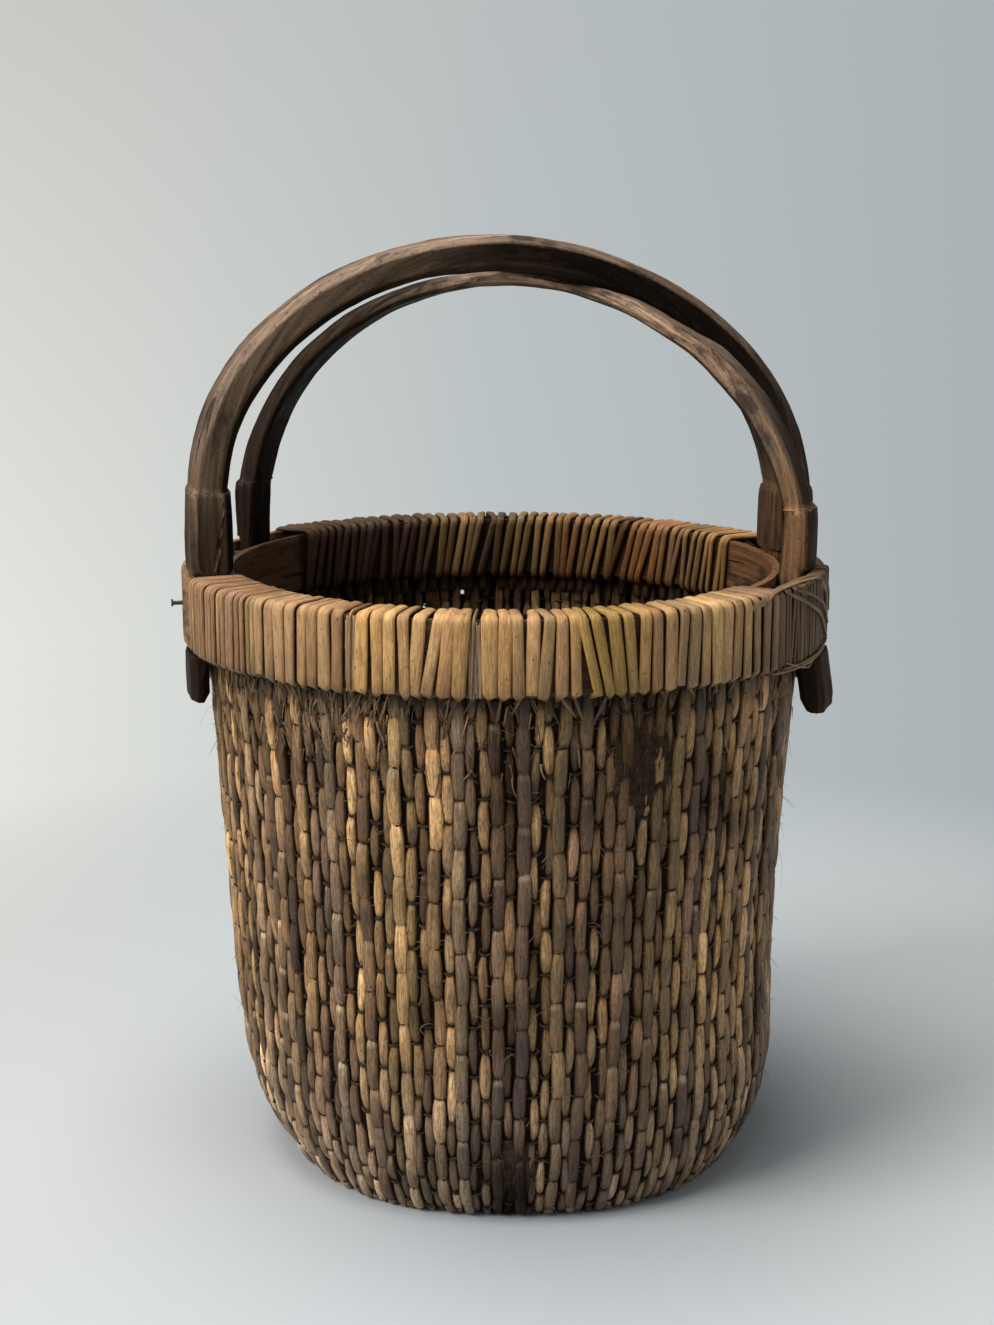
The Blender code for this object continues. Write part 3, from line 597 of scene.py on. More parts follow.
def notable(index):
    for place, stout, colour in NOTABLE_RODS:
        if index < RODS and abs(angle_apart((index + 0.5) * PITCH, math.radians(place))) <= PITCH / 2:
            return stout, colour
    return None


def rod_stoutness(index, rng):
    """1 for a thick rod that stands forward, 0 for a thin one set back; thick and thin tend to alternate."""
    stout = rng.uniform(0.55, 1.0) if rng.random() < (0.75 if index % 2 else 0.38) else rng.uniform(0.0, 0.45)
    found = notable(index)
    if found:
        return found[0]
    beside = notable((index - 1) % RODS) or notable((index + 1) % RODS)
    return min(stout, 0.35) if beside else stout


def rod_tints(index, count, rng):
    """One colour for each bead along a rod, near the rod's own colour."""
    own = np.array(ROD_COLOURS[rng.choice(len(ROD_COLOURS), p=ROD_SHARES)])
    beads = np.array([ROD_COLOURS[j] for j in rng.choice(len(ROD_COLOURS), size=count, p=ROD_SHARES)])
    found = notable(index)
    tints = mixed(found[1], beads, 0.18) if found else mixed(own, beads, 0.32)
    tints = mixed(tints, tints.mean(1, keepdims=True), 0.08)
    rod_shade = 0.0 if found else rng.normal(0, 0.20)
    return tints * np.exp(0.16 + rod_shade + rng.normal(0, 0.26, (count, 1)))


class Rod:
    """One upright rod: where it runs, how wide and how deep it is, and its colour, soiling, painted light and
    painted shade along its way.
    """

    def __init__(self, index, wall, levels, rng):
        self.index = index
        self.angle = (index + 0.5) * PITCH
        self.radius, self.height = wall.profile(self.angle).T
        n_r, n_z = np.gradient(self.height), -np.gradient(self.radius)
        self.normal = np.stack([n_r, n_z]) / np.hypot(n_r, n_z)
        under = self.height < levels[0]
        below = (np.arange(len(under)) - np.argmax(~under)) * ROD_STEP / WEFT_STEP_LOW
        above = np.interp(self.height, levels, np.arange(len(levels), dtype=float))
        top = self.height > levels[-1]
        above[top] = len(levels) - 1 + (self.height[top] - levels[-1]) / WEFT_STEP_HIGH
        turn = np.where(under, below, above) + index % 2
        bead = np.floor((turn + 1) / 2).astype(int)
        bead -= bead.min()
        self.within = ((turn + 1) / 2) % 1.0
        beads = bead.max() + 1
        stout = rod_stoutness(index, rng)
        drift = np.clip(stout + rng.normal(0, 0.16, beads), 0, 1)[bead]
        self.stout = running_mean(drift, 6)
        blunt = THIN_ROD[2] + (THICK_ROD[2] - THIN_ROD[2]) * self.stout * rng.uniform(0.6, 1.1, beads)[bead]
        from_middle = np.abs(self.within * 2 - 1)
        self.bulge = (1 - from_middle ** blunt) ** (0.75 - 0.30 * self.stout)
        # each bead lighter towards its upper end: painted light from above, and soiling lower down
        self.tints = rod_tints(index, beads, rng)[bead] * (0.80 + 0.36 * self.within[:, None] ** 1.5)
        # some beads get a pale upper end: worn fibres and a painted glint
        self.pale_ends_and_glints = (rng.random(beads) < 0.30)[bead] * rng.uniform(0.2, 1.0, beads)[bead]
        self.wander = rng.uniform(-0.0011, 0.0011, beads)[bead]
        self.sway = rng.uniform(0, TAU)

    def sunk(self, depth):
        """Radius and height of the rod's line at a depth below the wall's outer face."""
        n_r, n_z = self.normal
        return self.radius - n_r * depth + fuller(self.angle, self.height), self.height - n_z * depth

    def face_at(self, level):
        """Radius of the outer face at a height, above the foot's bend."""
        return float(np.interp(level, self.height[5:], self.radius[5:]))

    def add_to(self, skin, reaches_rim):
        into_rim = smooth((self.height - (NECK - NECK_BLEND)) / NECK_BLEND)
        full, left = (thin + (thick - thin) * self.stout for thin, thick in zip(THIN_ROD[:2], THICK_ROD))
        width = full * (left + (1 - left) * self.bulge)
        width = width * self.radius / ROD_FULL_AT * (1 - 0.08 * into_rim)
        thick = ROD_HALF_THICK * (PINCHED_THICK + (1 - PINCHED_THICK) * self.bulge) * (1 - 0.15 * into_rim)
        recess = np.where(self.height < ON_FLOOR, 0.0, RECESS * (1 - self.stout))
        inset = thick + recess + PINCH_DEPTH * (1 - self.bulge) * (1 - into_rim) + 0.0008 * into_rim
        side = running_mean(self.wander, 4) + 0.0006 * np.sin(self.height * 55 + self.sway)
        radius, height = self.sunk(inset)
        angle = self.angle + side / np.maximum(self.radius, 0.05)
        rise = np.zeros(0)
        if reaches_rim:
            rise = np.arange(NECK + ROD_STEP * 2, HOOP_TOP - RNG.uniform(0.0012, 0.0045), ROD_STEP * 2)
        extra = len(rise)
        radius, angle, width, thick = (np.pad(part, (0, extra), mode="edge")
                                       for part in (radius, angle, width, thick))
        height = np.append(height, rise)
        n_r = np.append(self.normal[0], np.ones(extra))
        n_z = np.append(self.normal[1], np.zeros(extra))
        tints = np.pad(self.tints, ((0, extra), (0, 0)), mode="edge")
        # pale upper ends of some beads: worn fibres and a painted glint
        pale_end_and_glint = self.pale_ends_and_glints * smooth((self.within - 0.84) / 0.08) * smooth((1.0 - self.within) / 0.03)
        tints[:len(pale_end_and_glint)] = mixed(tints[:len(pale_end_and_glint)], PALE_END_AND_GLINT, (pale_end_and_glint * 0.8)[:, None])
        # lightness from place to place, with painted light and shade
        tints = tints * weave_patches_and_painted_light(self.angle, height)[:, None]
        dusty = smooth((0.12 - height) / 0.09)[:, None] * 0.35
        tints = mixed(tints, tints.mean(1, keepdims=True) * DUST, dusty)
        facing = np.cos(section_turns(ROD_SIDES))
        # painted shade on each rod's sides as they turn from the front, with soiling in the crevices, and
        # less of it on the rod's back
        sides = smooth((0.80 - facing) / 0.9) * 0.95 - 0.65 * smooth((-0.2 - facing) / 0.6)
        # painted shade and soiling where the twine pinches the rod
        ends = np.append((1 - self.bulge) ** 2 * 0.75, np.full(extra, 0.5))
        # painted shade on the thin rods that stand back
        back = np.append(1 - self.stout, np.full(extra, 0.5)) * 0.22
        stains_and_painted_shade = ends + stain(self.angle, height) + back
        dirt_and_painted_shade = sides[None] + stains_and_painted_shade[:, None] * (0.65 + 0.35 * (facing > 0))[None]
        skin.tube(polar(radius, angle, height), polar(n_r, angle, n_z), thick, width, 1.14 * tints,
                  np.clip(1.18 * dirt_and_painted_shade, 0, 1), self.index * 0.37, square=(0.80, 0.85))


def make_wall(wall, levels, finish):
    rods = [Rod(i, wall, levels[:, i], RNG) for i in range(RODS)]
    share = RODS // SECTORS
    for sector in range(SECTORS):
        skin = Skin()
        for rod in rods[sector * share:(sector + 1) * share]:
            rod.add_to(skin, wall.has_rod_end(rod.angle))
        skin.build(f"willow_rods_{sector + 1}", finish, WEAVE)
    return rods


CREVICE_ROWS = 120
CREVICE_TOP = OUTER_FOOT + 0.0040
LEDGE_TOP = OUTER_FOOT + 0.0046
LEDGE_BITE = 0.0004            # how far the sheet's ledge goes into the outer hoop


# Small openings high in the back wall, each between one rod and the next: first rod and lowest height
OPENINGS = [(42, 0.2770), (45, 0.2770), (46, 0.2700), (48, 0.2790), (51, 0.2720)]
OPENING_TALL = 0.0028


def make_crevice_shade_sheet(rods, finish):
    """Dark sheet of painted shade that closes the crevices: a sheet through the rods, but for a few openings,
    and on to the hoop.
    """
    sheet = []
    for rod in rods:
        radius, height = rod.sunk(CREVICE_DEPTH)
        radius = np.append(radius, radius[-1])
        height = np.append(height, CREVICE_TOP)
        share = np.linspace(0, 1, len(radius))
        at = np.linspace(0, 1, CREVICE_ROWS - 1)
        upright = polar(np.interp(at, share, radius), rod.angle, np.interp(at, share, height))
        ledge = polar(oval_radius(OUTER_BORE, rod.angle) + LEDGE_BITE, rod.angle, LEDGE_TOP)
        sheet.append(np.vstack([upright, ledge]))
    points = np.array(sheet)
    index = np.arange(RODS * CREVICE_ROWS).reshape(RODS, CREVICE_ROWS)
    after = np.roll(index, -1, 0)
    quads = np.stack([index[:, :-1], after[:, :-1], after[:, 1:], index[:, 1:]], -1)
    closed = np.ones(quads.shape[:2], bool)
    for rod, low in OPENINGS:
        level = points[rod, :-1, 2]
        closed[rod] &= (level <= low) | (level >= low + OPENING_TALL)
    skin = Skin()
    skin.quads(points.reshape(-1, 3), quads[closed])
    skin.build("crevice_shade_sheet", finish, WEAVE)


WEFT_POINTS = 4                # points of a twine ring for each rod
SLOPE_REACH = 0.003            # height up and down over which the wall's slope is taken


def between(place, at_rods):
    """Value between rods, from one value for each rod right round the wall."""
    wrapped = np.concatenate([at_rods[-1:], at_rods, at_rods[:1]])
    return np.interp(place, np.arange(-1, RODS + 1), wrapped)


def make_wefts(rods, levels, finish):
    """Twine rings: outside a rod that it draws in, inside the next one."""
    skin = Skin()
    place = np.arange(RODS * WEFT_POINTS) / WEFT_POINTS - 0.5
    angle = (place + 0.5) * PITCH
    behind = 2 * ROD_HALF_THICK + TWINE_RADIUS
    over = PINCH_DEPTH - TWINE_RADIUS * 0.5
    for k, level in enumerate(levels):
        low, middle, high = (
            np.array([np.interp(z + lift, rod.height, rod.radius) for rod, z in zip(rods, level)])
            for lift in (-SLOPE_REACH, 0.0, SLOPE_REACH))
        height = between(place, level)
        slope = between(place, (high - low) / (2 * SLOPE_REACH))
        tilt = np.hypot(1.0, slope)
        outside = 0.5 - 0.5 * np.cos(math.pi * (place + k))
        depth = behind + (over - behind) * outside
        radius = between(place, middle) - depth / tilt + fuller(angle, height)
        height = height + depth * slope / tilt
        radius = radius + RNG.normal(0, 0.00012, len(radius))
        height = np.maximum(height + RNG.normal(0, 0.00018, len(height)), TWINE_RADIUS)
        tint = mixed((0.028, 0.018, 0.012), (0.100, 0.066, 0.040), RNG.random((len(radius), 1)) ** 3)
        skin.tube(polar(radius, angle, height), polar(1.0, angle, 0.0), TWINE_RADIUS, TWINE_RADIUS * 1.1,
                  tint, 0.15, 0.71 * k, sides=6, closed=True)
    skin.build("twine_wefts", finish, WEAVE)


# Base mat
MAT_PITCH = 0.0062             # from rod to rod, before they are spread evenly over the mat
MAT_MARGIN = 0.0050            # left by the middles of the outermost rods, both sides together
MAT_WEFT_STEP = 0.0125
MAT_HALF_THICK = 0.0024
MAT_HALF_WIDTH = 0.0031
MAT_WAVE = 0.0009              # how far the rods swing up and down round the twine
MAT_TWINE_WAVE = 0.0030
MAT_TWINE_RADIUS = 0.0006


def make_base(wall, finish, twine):
    """Mat of rods from front to back, woven on twine from side to side."""
    low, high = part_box("willow_base")
    level = (low.z + high.z) / 2
    left, right = (wall.mat_edge((side * RAY_START, 0, level), (-side, 0, 0)).x for side in (-1, 1))
    across = right - left - MAT_MARGIN
    columns = round(across / MAT_PITCH) + 1

    def column(place):
        return (left + right) / 2 + (place - (columns - 1) / 2) * (across / (columns - 1))

    def reach(x):
        """Where a rod ends at the front and at the back."""
        hits = [wall.mat_edge((x, side * RAY_START, level), (0, -side, 0)).y for side in (-1, 1)]
        more = [fuller(math.atan2(y, x), level) + 0.0010 for y in hits]
        return hits[0] - more[0], hits[1] + more[1]

    spans = [reach(column(i)) for i in range(columns)]
    skin = Skin()
    facing = np.abs(np.cos(section_turns(ROD_SIDES)))
    for i, (front, back) in enumerate(spans):
        y = np.arange(front + 0.0006, back - 0.0006, ROD_STEP * 1.2)
        turn = y / MAT_WEFT_STEP + i % 2
        out = 0.5 + 0.5 * np.cos(math.pi * turn)
        wave = 2 * out - 1
        width = MAT_HALF_WIDTH * RNG.uniform(0.84, 1.1) * (0.78 + 0.22 * np.abs(wave))
        bead = np.floor(turn).astype(int)
        bead -= bead.min()
        tints = rod_tints(RODS + i, bead.max() + 1, RNG)[bead] * 0.8
        path = np.stack([column(i) + 0.0003 * np.sin(y * 90 + i), y, level + MAT_WAVE * wave], -1)
        # painted shade on the mat rods' sides, with soiling between them
        dirt_and_painted_shade = np.broadcast_to(np.clip(0.85 - facing, 0, 1), (len(y), ROD_SIDES))
        skin.tube(path, UP, MAT_HALF_THICK, width, tints, dirt_and_painted_shade, 60 + i * 0.41)
    skin.build("base_rods", finish, ["willow_base"])

    ties = Skin()
    for k in range(int(low.y / MAT_WEFT_STEP), int(high.y / MAT_WEFT_STEP) + 1):
        y = k * MAT_WEFT_STEP
        reached = [i for i, (front, back) in enumerate(spans) if front + 0.002 < y < back - 0.002]
        place = np.arange(reached[0] * WEFT_POINTS, reached[-1] * WEFT_POINTS + 1) / WEFT_POINTS
        z = level - MAT_TWINE_WAVE * np.cos(math.pi * (place + k))
        path = np.stack([column(place), np.full(len(place), y), z], -1)
        tint = mixed((0.050, 0.032, 0.020), (0.125, 0.085, 0.052), RNG.random((len(place), 1)) ** 2)
        ties.tube(path, UP, MAT_TWINE_RADIUS, MAT_TWINE_RADIUS, tint, 0.15, 0.5 * k, sides=6)
    ties.build("base_twine", twine, ["willow_base"])


def make_packing(wall, finish):
    """Bent-over rod tips behind the rod ends, between the hoops."""
    skin = Skin()
    for i in range(RODS):
        angle = i * PITCH + RNG.uniform(-0.3, 0.3) * PITCH
        if not (wall.has_rod_end(angle - PITCH / 2) and wall.has_rod_end(angle + PITCH / 2)):
            continue
        inner = oval_radius(INNER_BACK, angle) + CLEAR
        room = oval_radius(OUTER_BORE, angle) - TIPS_BEHIND - inner
        if room < TIPS_ROOM:
            continue
        thick = min(TIP_HALF, room / 2)
        for layer in range(2 if room > 4 * thick else 1):
            radius = inner + thick + layer * 2 * thick
            height = np.linspace(NECK - 0.004, HOOP_TOP - RNG.uniform(0.0015, 0.0060), 14)
            lean = RNG.normal(0, 0.25) * PITCH
            path = polar(radius, angle + lean * (height - NECK) / 0.04, height)
            # painted shade: the tips between the hoops are kept dark
            tint = mixed(GREYED, BROWN, RNG.random()) * RNG.uniform(0.20, 0.45)
            skin.tube(path, polar(1.0, angle, 0.0), thick, TIP_HALF, tint, 0.35, i * 0.29 + layer, sides=8)
    skin.build("rod_tips", finish)


def make_frayed_ends(wall, finish):
    """Thin strands that lean between the rods just under the rim."""
    skin = Skin()
    share = np.linspace(0, 1, 9)
    for i in range(RODS):
        if RNG.random() < 0.35:
            continue
        angle = (i + RNG.uniform(-0.5, 0.5)) * PITCH
        height = NECK + 0.0020 - RNG.uniform(0.006, 0.022) * share
        turn = angle + RNG.choice([-1, 1]) * RNG.uniform(0.2, 1.3) * PITCH * share
        face = wall.crest(angle, NECK - 0.002)
        lower = wall.crest(angle, float(height[-1]))
        radius = face + (lower - face) * share - 0.0006 - 0.0010 * share ** 2
        half = RNG.uniform(0.0005, 0.0014) * (1 - 0.7 * share ** 3)
        tint = mixed(mixed(TAN, GREYED, RNG.random()), UMBER, RNG.random() * 0.9) * RNG.uniform(0.6, 1.1)
        skin.tube(polar(radius, turn, height), polar(1.0, turn, 0.0), half * 0.5, half, tint,
                  0.10 + 0.25 * share, 90 + i * 0.13, sides=6)
    skin.build("frayed_rod_ends", finish)


def split_path(corners, bend):
    """Rounded line through the corners (radius, height) of one turn, with its place between the corners."""
    points = []
    for i, here in enumerate(corners[:-1]):
        here = np.array(here)
        there = np.array(corners[i + 1])
        length = np.linalg.norm(there - here)
        step = (there - here) / length
        count = max(2, int(length / SPLIT_STEP))
        for share in np.linspace(bend / length, 1 - bend / length, count + 1):
            points.append((*(here + step * length * share), i + share))
        if i + 2 < len(corners):
            after = np.array(corners[i + 2]) - there
            after = after / np.linalg.norm(after)
            start, stop = there - step * bend, there + after * bend
            for t in (0.2, 0.4, 0.6, 0.8):
                curve = start * (1 - t) ** 2 + there * 2 * t * (1 - t) + stop * t ** 2
                points.append((*curve, i + 1 - bend / length * (1 - t) + 0.02 * t))
    return np.array(points)


class Style:
    """How the turns of a binding look at a place round the rim: colour, width and lean."""

    def __init__(self, stops, leans):
        self.stops = stops
        self.leans = leans

    def at(self, degrees, rng):
        """Colour, half width and lean of one turn."""
        places, colours, widths = zip(*self.stops)
        tint = np.array([np.interp(degrees, places, part) for part in zip(*colours)])
        lean = sum(amount * float(bump(degrees, place, reach)) for place, reach, amount in self.leans)
        tint = tint * rng.uniform(0.76, 1.18) * (1 + rng.normal(0, 0.03, 3))
        return tint, float(np.interp(degrees, places, widths)) * rng.uniform(0.83, 1.00), lean


def turn_course(line, angle):
    """Points and outward directions of one turn, from its section and its angle at each point."""
    run = unit(np.gradient(line[:, :2], axis=0))
    return polar(line[:, 0], angle, line[:, 1]), polar(run[:, 1], angle, -run[:, 0])


PALE = (0.680, 0.420, 0.185)
GOLD = (0.660, 0.380, 0.140)
ROSY = (0.580, 0.315, 0.140)
TAWNY = (0.430, 0.245, 0.118)
DRAB = (0.440, 0.275, 0.130)
MOSS = (0.460, 0.275, 0.074)
CHESTNUT = (0.470, 0.225, 0.085)
COCOA = (0.120, 0.064, 0.031)
ASH = (0.170, 0.104, 0.060)

# Degrees round the rim, colour, half width of a turn
FRONT_STYLE = Style([(198, TAWNY, 0.0031), (212, TAWNY, 0.0033), (230, DRAB, 0.0034), (242, ROSY, 0.0040),
                     (244.5, GREYED, 0.0008), (247, GOLD, 0.0040), (251, GOLD, 0.0034), (258, PALE, 0.0035),
                     (263, GOLD, 0.0040), (265.4, GREYED, 0.0008), (267.8, GOLD, 0.0042), (271, GOLD, 0.0036),
                     (276, PALE, 0.0033), (281, GOLD, 0.0033), (284, MOSS, 0.0031), (291, MOSS, 0.0031),
                     (294, GOLD, 0.0034), (300, DRAB, 0.0036), (308, PALE, 0.0036), (316, DRAB, 0.0034),
                     (324, ASH, 0.0030)],
                    # Place, reach and lean in degrees, from the foot to the top of the outer face
                    [(258.5, 4.5, 2.4), (263, 4, 1.0), (284.5, 4, -3.6), (289, 4, -1.8), (236, 3, 0.7),
                     (300, 6, 0.5), (276, 3.5, 0.8)])
BACK_STYLE = Style([(26, CHESTNUT, 0.0028), (36, GOLD, 0.0026), (44, DRAB, 0.0026), (50, CHESTNUT, 0.0029),
                    (56, CHESTNUT, 0.0029), (60, RUSSET, 0.0029), (66, GOLD, 0.0029), (73, CHESTNUT, 0.0028),
                    (80, TAN, 0.0029), (86, OLIVE, 0.0028), (92, COCOA, 0.0028), (97, TAN, 0.0029),
                    (104, OLIVE, 0.0030), (110, COCOA, 0.0030), (146, COCOA, 0.0030)],
                   [(74, 6, 1.6), (55, 6, -1.5), (40, 6, 1.3), (100, 5, -1.2), (118, 6, 1.5)])


# The turns at the left end of the front binding are narrow
FINE_STEP = 0.625              # as a share of a rod's pitch
FINE_WIDTH = 0.58              # as a share of the other turns' width


def turn_stations(place, advance, style, rng):
    """Section, angles, width and colour of one turn: outer foot, outer top, inner top, inner foot, then on by
    advance to the next turn's foot."""
    angle = place * PITCH
    tint, half_width, lean = style.at(math.degrees(angle) % 360, rng)
    lean = math.radians(lean)
    if advance < PITCH:
        half_width = half_width * FINE_WIDTH
        tint = tint * rng.uniform(0.80, 1.15)
    half = SPLIT_SEAT + CLEAR + rng.uniform(-0.0002, 0.0005)
    out = oval_radius(OUTER_FACE, angle) + half
    inside = oval_radius(INNER_FACE, angle) - half
    inside_next = oval_radius(INNER_FACE, angle + advance) - half
    top = HOOP_TOP + half
    foot = OUTER_FOOT - half - rng.uniform(0.0, 0.0012)
    corners = [(out, foot), (out, top), (inside, top), (inside_next, INNER_FOOT - half), (out, foot)]
    line = split_path(corners, SPLIT_BEND)
    along = line[:, 2]
    foot_angle = angle - lean / 2 + rng.normal(0, 0.10) * advance
    top_angle = angle + lean / 2 + rng.normal(0, 0.08) * advance
    inner_top = angle + lean / 3 + rng.normal(0, 0.12) * advance
    inner_foot = angle + advance - lean / 4 + rng.normal(0, 0.30) * advance
    turn = np.interp(along, range(5), [foot_angle, top_angle, inner_top, inner_foot, foot_angle + advance])
    width = np.interp(along, [0, 0.1, 1, 2, 3, 3.25, 3.85, 4],
                      [0.9, 1, 1, 0.86, 0.82, 0.45, 0.45, 0.8]) * half_width
    width = width * (1 + 0.07 * np.sin(along * 3.5 + rng.uniform(0, TAU)))
    return line, turn, width, tint, rng.uniform(-0.28, 0.28)


def make_splits(name, node, places, step, style, finish, seed):
    """One length of split: turns at places round the rim, one after another, as a single tube."""
    rng = np.random.default_rng(seed)
    turns = []
    for place in places:
        line, angle, width, tint, tilt = turn_stations(place, step * PITCH, style, rng)
        path, outward = turn_course(line, angle)
        outward = outward + polar(1.0, angle + math.pi / 2, 0.0) * tilt
        blend = rng.uniform(0.88, 1.12)
        low = rng.uniform(0.55, 0.90)
        # along each turn: darker at the foot, a painted highlight over the top bend and painted shade down
        # the inner side
        fade = np.interp(line[:, 2], [0, 0.12, 0.5, 0.9, 1.1, 2.0, 3.0, 4.0],
                         [low * 0.8, low, 0.95, 1.05, 1.15, 0.85, 0.6, 0.4])
        # darker at the foot, and painted shade down the inner side
        dirt_and_painted_shade = np.interp(line[:, 2], [0, 0.1, 0.9, 1.0, 3.0, 4.0], [0.45, 0.10, 0.06, 0.04, 0.45, 0.8])
        turns.append((path, outward, width, np.outer(fade * blend, tint), dirt_and_painted_shade))
    path, outward, width, tint, dirt_and_painted_shade = (np.concatenate(part) for part in zip(*turns))
    section = section_turns(12)
    # painted shade with soiling along each split's edges, and painted shade on its side against the hoop
    edge = np.abs(np.sin(section)) ** 6
    under = np.cos(section) < -0.2
    dirt_and_painted_shade = np.clip(dirt_and_painted_shade[:, None] + edge[None] * 0.32 + under[None] * 0.4, 0, 1)
    skin = Skin()
    skin.tube(path, outward, SPLIT_HALF_THICK, width, tint, dirt_and_painted_shade, seed * 0.53, sides=12, square=(0.95, 0.72))
    skin.build(name, finish, [node])


def make_bindings(finish):
    for label, (first, last), style, seed in (("front", FRONT_PLACES, FRONT_STYLE, FRONT_SEED),
                                              ("back", BACK_PLACES, BACK_STYLE, BACK_SEED)):
        count = last - first + 1
        for i in range(SPLITS):
            step = FINE_STEP if (label, i) == ("front", 0) else 1.0
            places = np.arange(first + count * i // SPLITS, first + count * (i + 1) // SPLITS, step)
            make_splits(f"splits_{label}_{i + 1}", f"rim_binding_{label}_{i + 1}", places, step, style,
                        finish, seed + i)


LASH_TURNS = 26
LASH_BEND = 0.0016
LASH_HALF_WIDTH = (0.00125, 0.00165)
LASH_START = FRONT_PLACES[1] * PITCH + 0.0050 / OUTER_FACE[0]
LASH_STEP = 0.00325 / OUTER_FACE[0]


def make_lashing(finish):
    """Narrow turns round the outer hoop at the right."""
    rng = np.random.default_rng(LASH_SEED)
    turns = []
    for i in range(LASH_TURNS):
        angle = LASH_START + LASH_STEP * i
        half = SPLIT_SEAT + CLEAR + rng.uniform(0, 0.0005)
        out = oval_radius(OUTER_FACE, angle) + half
        back = oval_radius(OUTER_BORE, angle) - half
        top, foot = HOOP_TOP + half, OUTER_FOOT - half
        line = split_path([(out, foot), (out, top), (back, top), (back, foot), (out, foot)], LASH_BEND)
        lean = rng.normal(0.0, 0.35) * LASH_STEP
        after = angle + LASH_STEP - lean
        stations = [angle - lean, angle + lean, angle + lean * 0.5, angle + LASH_STEP * 0.8, after]
        path, outward = turn_course(line, np.interp(line[:, 2], range(5), stations))
        width = np.full(len(line), rng.uniform(*LASH_HALF_WIDTH))
        tint = np.tile(mixed(ASH, COCOA, rng.random() * 0.8) * rng.uniform(0.75, 1.25), (len(line), 1))
        turns.append((path, outward, width, tint))
    path, outward, width, tint = (np.concatenate(part) for part in zip(*turns))
    # painted shade with soiling along the edges of each turn
    edge = np.abs(np.sin(section_turns(10))) ** 4 * 0.5 + 0.12
    skin = Skin()
    skin.tube(path, outward, SPLIT_SEAT, width, tint, np.broadcast_to(edge, (len(path), 10)), 5.1, sides=10,
              square=(0.7, 0.8))
    skin.build("lashing_turns", finish, ["right_lashing"])


def rim_strand(skin, stops, half_width, tint, mark, rng):
    """Loose strand over the rim, through stops of (degrees, height above the hoops' top, distance out)."""
    at = np.linspace(0, len(stops) - 1, 12 * len(stops))
    line = np.stack([np.interp(at, range(len(stops)), part) for part in zip(*stops)], -1)
    degrees, rise, out = evened(line, 14).T
    angle = np.radians(degrees)
    on_top = smooth((rise + 0.001) / 0.002)
    share = np.linspace(0, 1, len(line))
    half = half_width * (1 - 0.6 * np.abs(2 * share - 1) ** 6)
    shade = 1 + 0.12 * np.sin(share * 17 + rng.uniform(0, TAU))
    skin.tube(polar(oval_radius(OUTER_FACE, angle) + out, angle, HOOP_TOP + rise),
              polar(1 - on_top, angle, on_top), 0.0006, half, np.outer(shade, tint), 0.12, mark, sides=8,
              square=(0.9, 0.8))


# Strands at the right: stops, half width and colour. Heights run down from the top of the hoops
TOP_LIFT = 0.0026
RIGHT_STRANDS = [
    ([(-46, -0.004, 0.0010), (-43, -0.001, 0.0026), (-38, TOP_LIFT, -0.001), (-28, TOP_LIFT, -0.003),
      (-21, 0.0020, 0.0010), (-17, -0.006, 0.0030), (-15.5, -0.020, 0.0030)], 0.0020, (0.30, 0.19, 0.100)),
    ([(-42, -0.002, 0.0030), (-36, TOP_LIFT, -0.004), (-25, TOP_LIFT, -0.006), (-16, 0.0018, 0.0010),
      (-13.5, -0.008, 0.0030), (-13, -0.020, 0.0028)], 0.0014, (0.22, 0.14, 0.078)),
    ([(-36, 0.0012, 0.0020), (-30, -0.006, 0.0034), (-22, -0.016, 0.0036), (-15, -0.033, 0.0030)],
     0.0011, (0.21, 0.135, 0.078)),
    ([(-33, 0.0012, 0.0020), (-27, -0.004, 0.0036), (-20, -0.012, 0.0036), (-14.5, -0.026, 0.0032)],
     0.0009, (0.17, 0.105, 0.060)),
    ([(-40, -0.0392, 0.0022), (-33, -0.0400, 0.0026), (-26, -0.0398, 0.0028), (-17, -0.0372, 0.0028)],
     0.0007, (0.30, 0.20, 0.120)),
    ([(-37, -0.0378, 0.0026), (-30, -0.0386, 0.0028), (-22, -0.0376, 0.0030), (-15, -0.0340, 0.0030)],
     0.0006, (0.26, 0.17, 0.100)),
    ([(-36, -0.0350, 0.0026), (-31, -0.0400, 0.0030), (-27, -0.0425, 0.0026), (-24, -0.0405, 0.0020)],
     0.0005, (0.32, 0.22, 0.140)),
]
# Fibrous packing that shows between turns: degrees and half reach in degrees
PACKED_GAPS = [(-115.4, 0.95), (-94.6, 0.95)]
GAP_FIBRES = 40


def make_rim_details(finish):
    """Loose strands at the right, and the fibres between the turns of the binding."""
    rng = np.random.default_rng(STRAND_SEED)
    strands = Skin()
    for i, (stops, half_width, tint) in enumerate(RIGHT_STRANDS):
        rim_strand(strands, stops, half_width, tint, 7.3 + i, rng)
    strands.build("loose_strands", finish)
    packing = Skin()
    for i, (degrees, reach) in enumerate(PACKED_GAPS):
        for j in range(GAP_FIBRES):
            angle = math.radians(degrees + rng.uniform(-reach, reach))
            height = np.linspace(OUTER_FOOT + rng.uniform(0, 0.006), HOOP_TOP - rng.uniform(0, 0.006), 8)
            turn = angle + np.cumsum(rng.normal(0, 0.0007, 8))
            radius = oval_radius(OUTER_FACE, angle) + rng.uniform(0.0002, 0.0009)
            tint = mixed((0.62, 0.46, 0.30), (0.36, 0.23, 0.13), rng.random())
            width = rng.uniform(0.0002, 0.0005)
            packing.tube(polar(radius, turn, height), polar(1.0, turn, 0.0), 0.0003, width, tint, 0.05,
                         9.7 + i + 0.1 * j, sides=4)
    packing.build("packing_fibres", finish)


# Degrees between two faces from which their edge is an arris, is bevelled, and is shaded sharp
ARRIS_FOLD = 11
BEVEL_FOLD = 14
SHADE_FOLD = 28


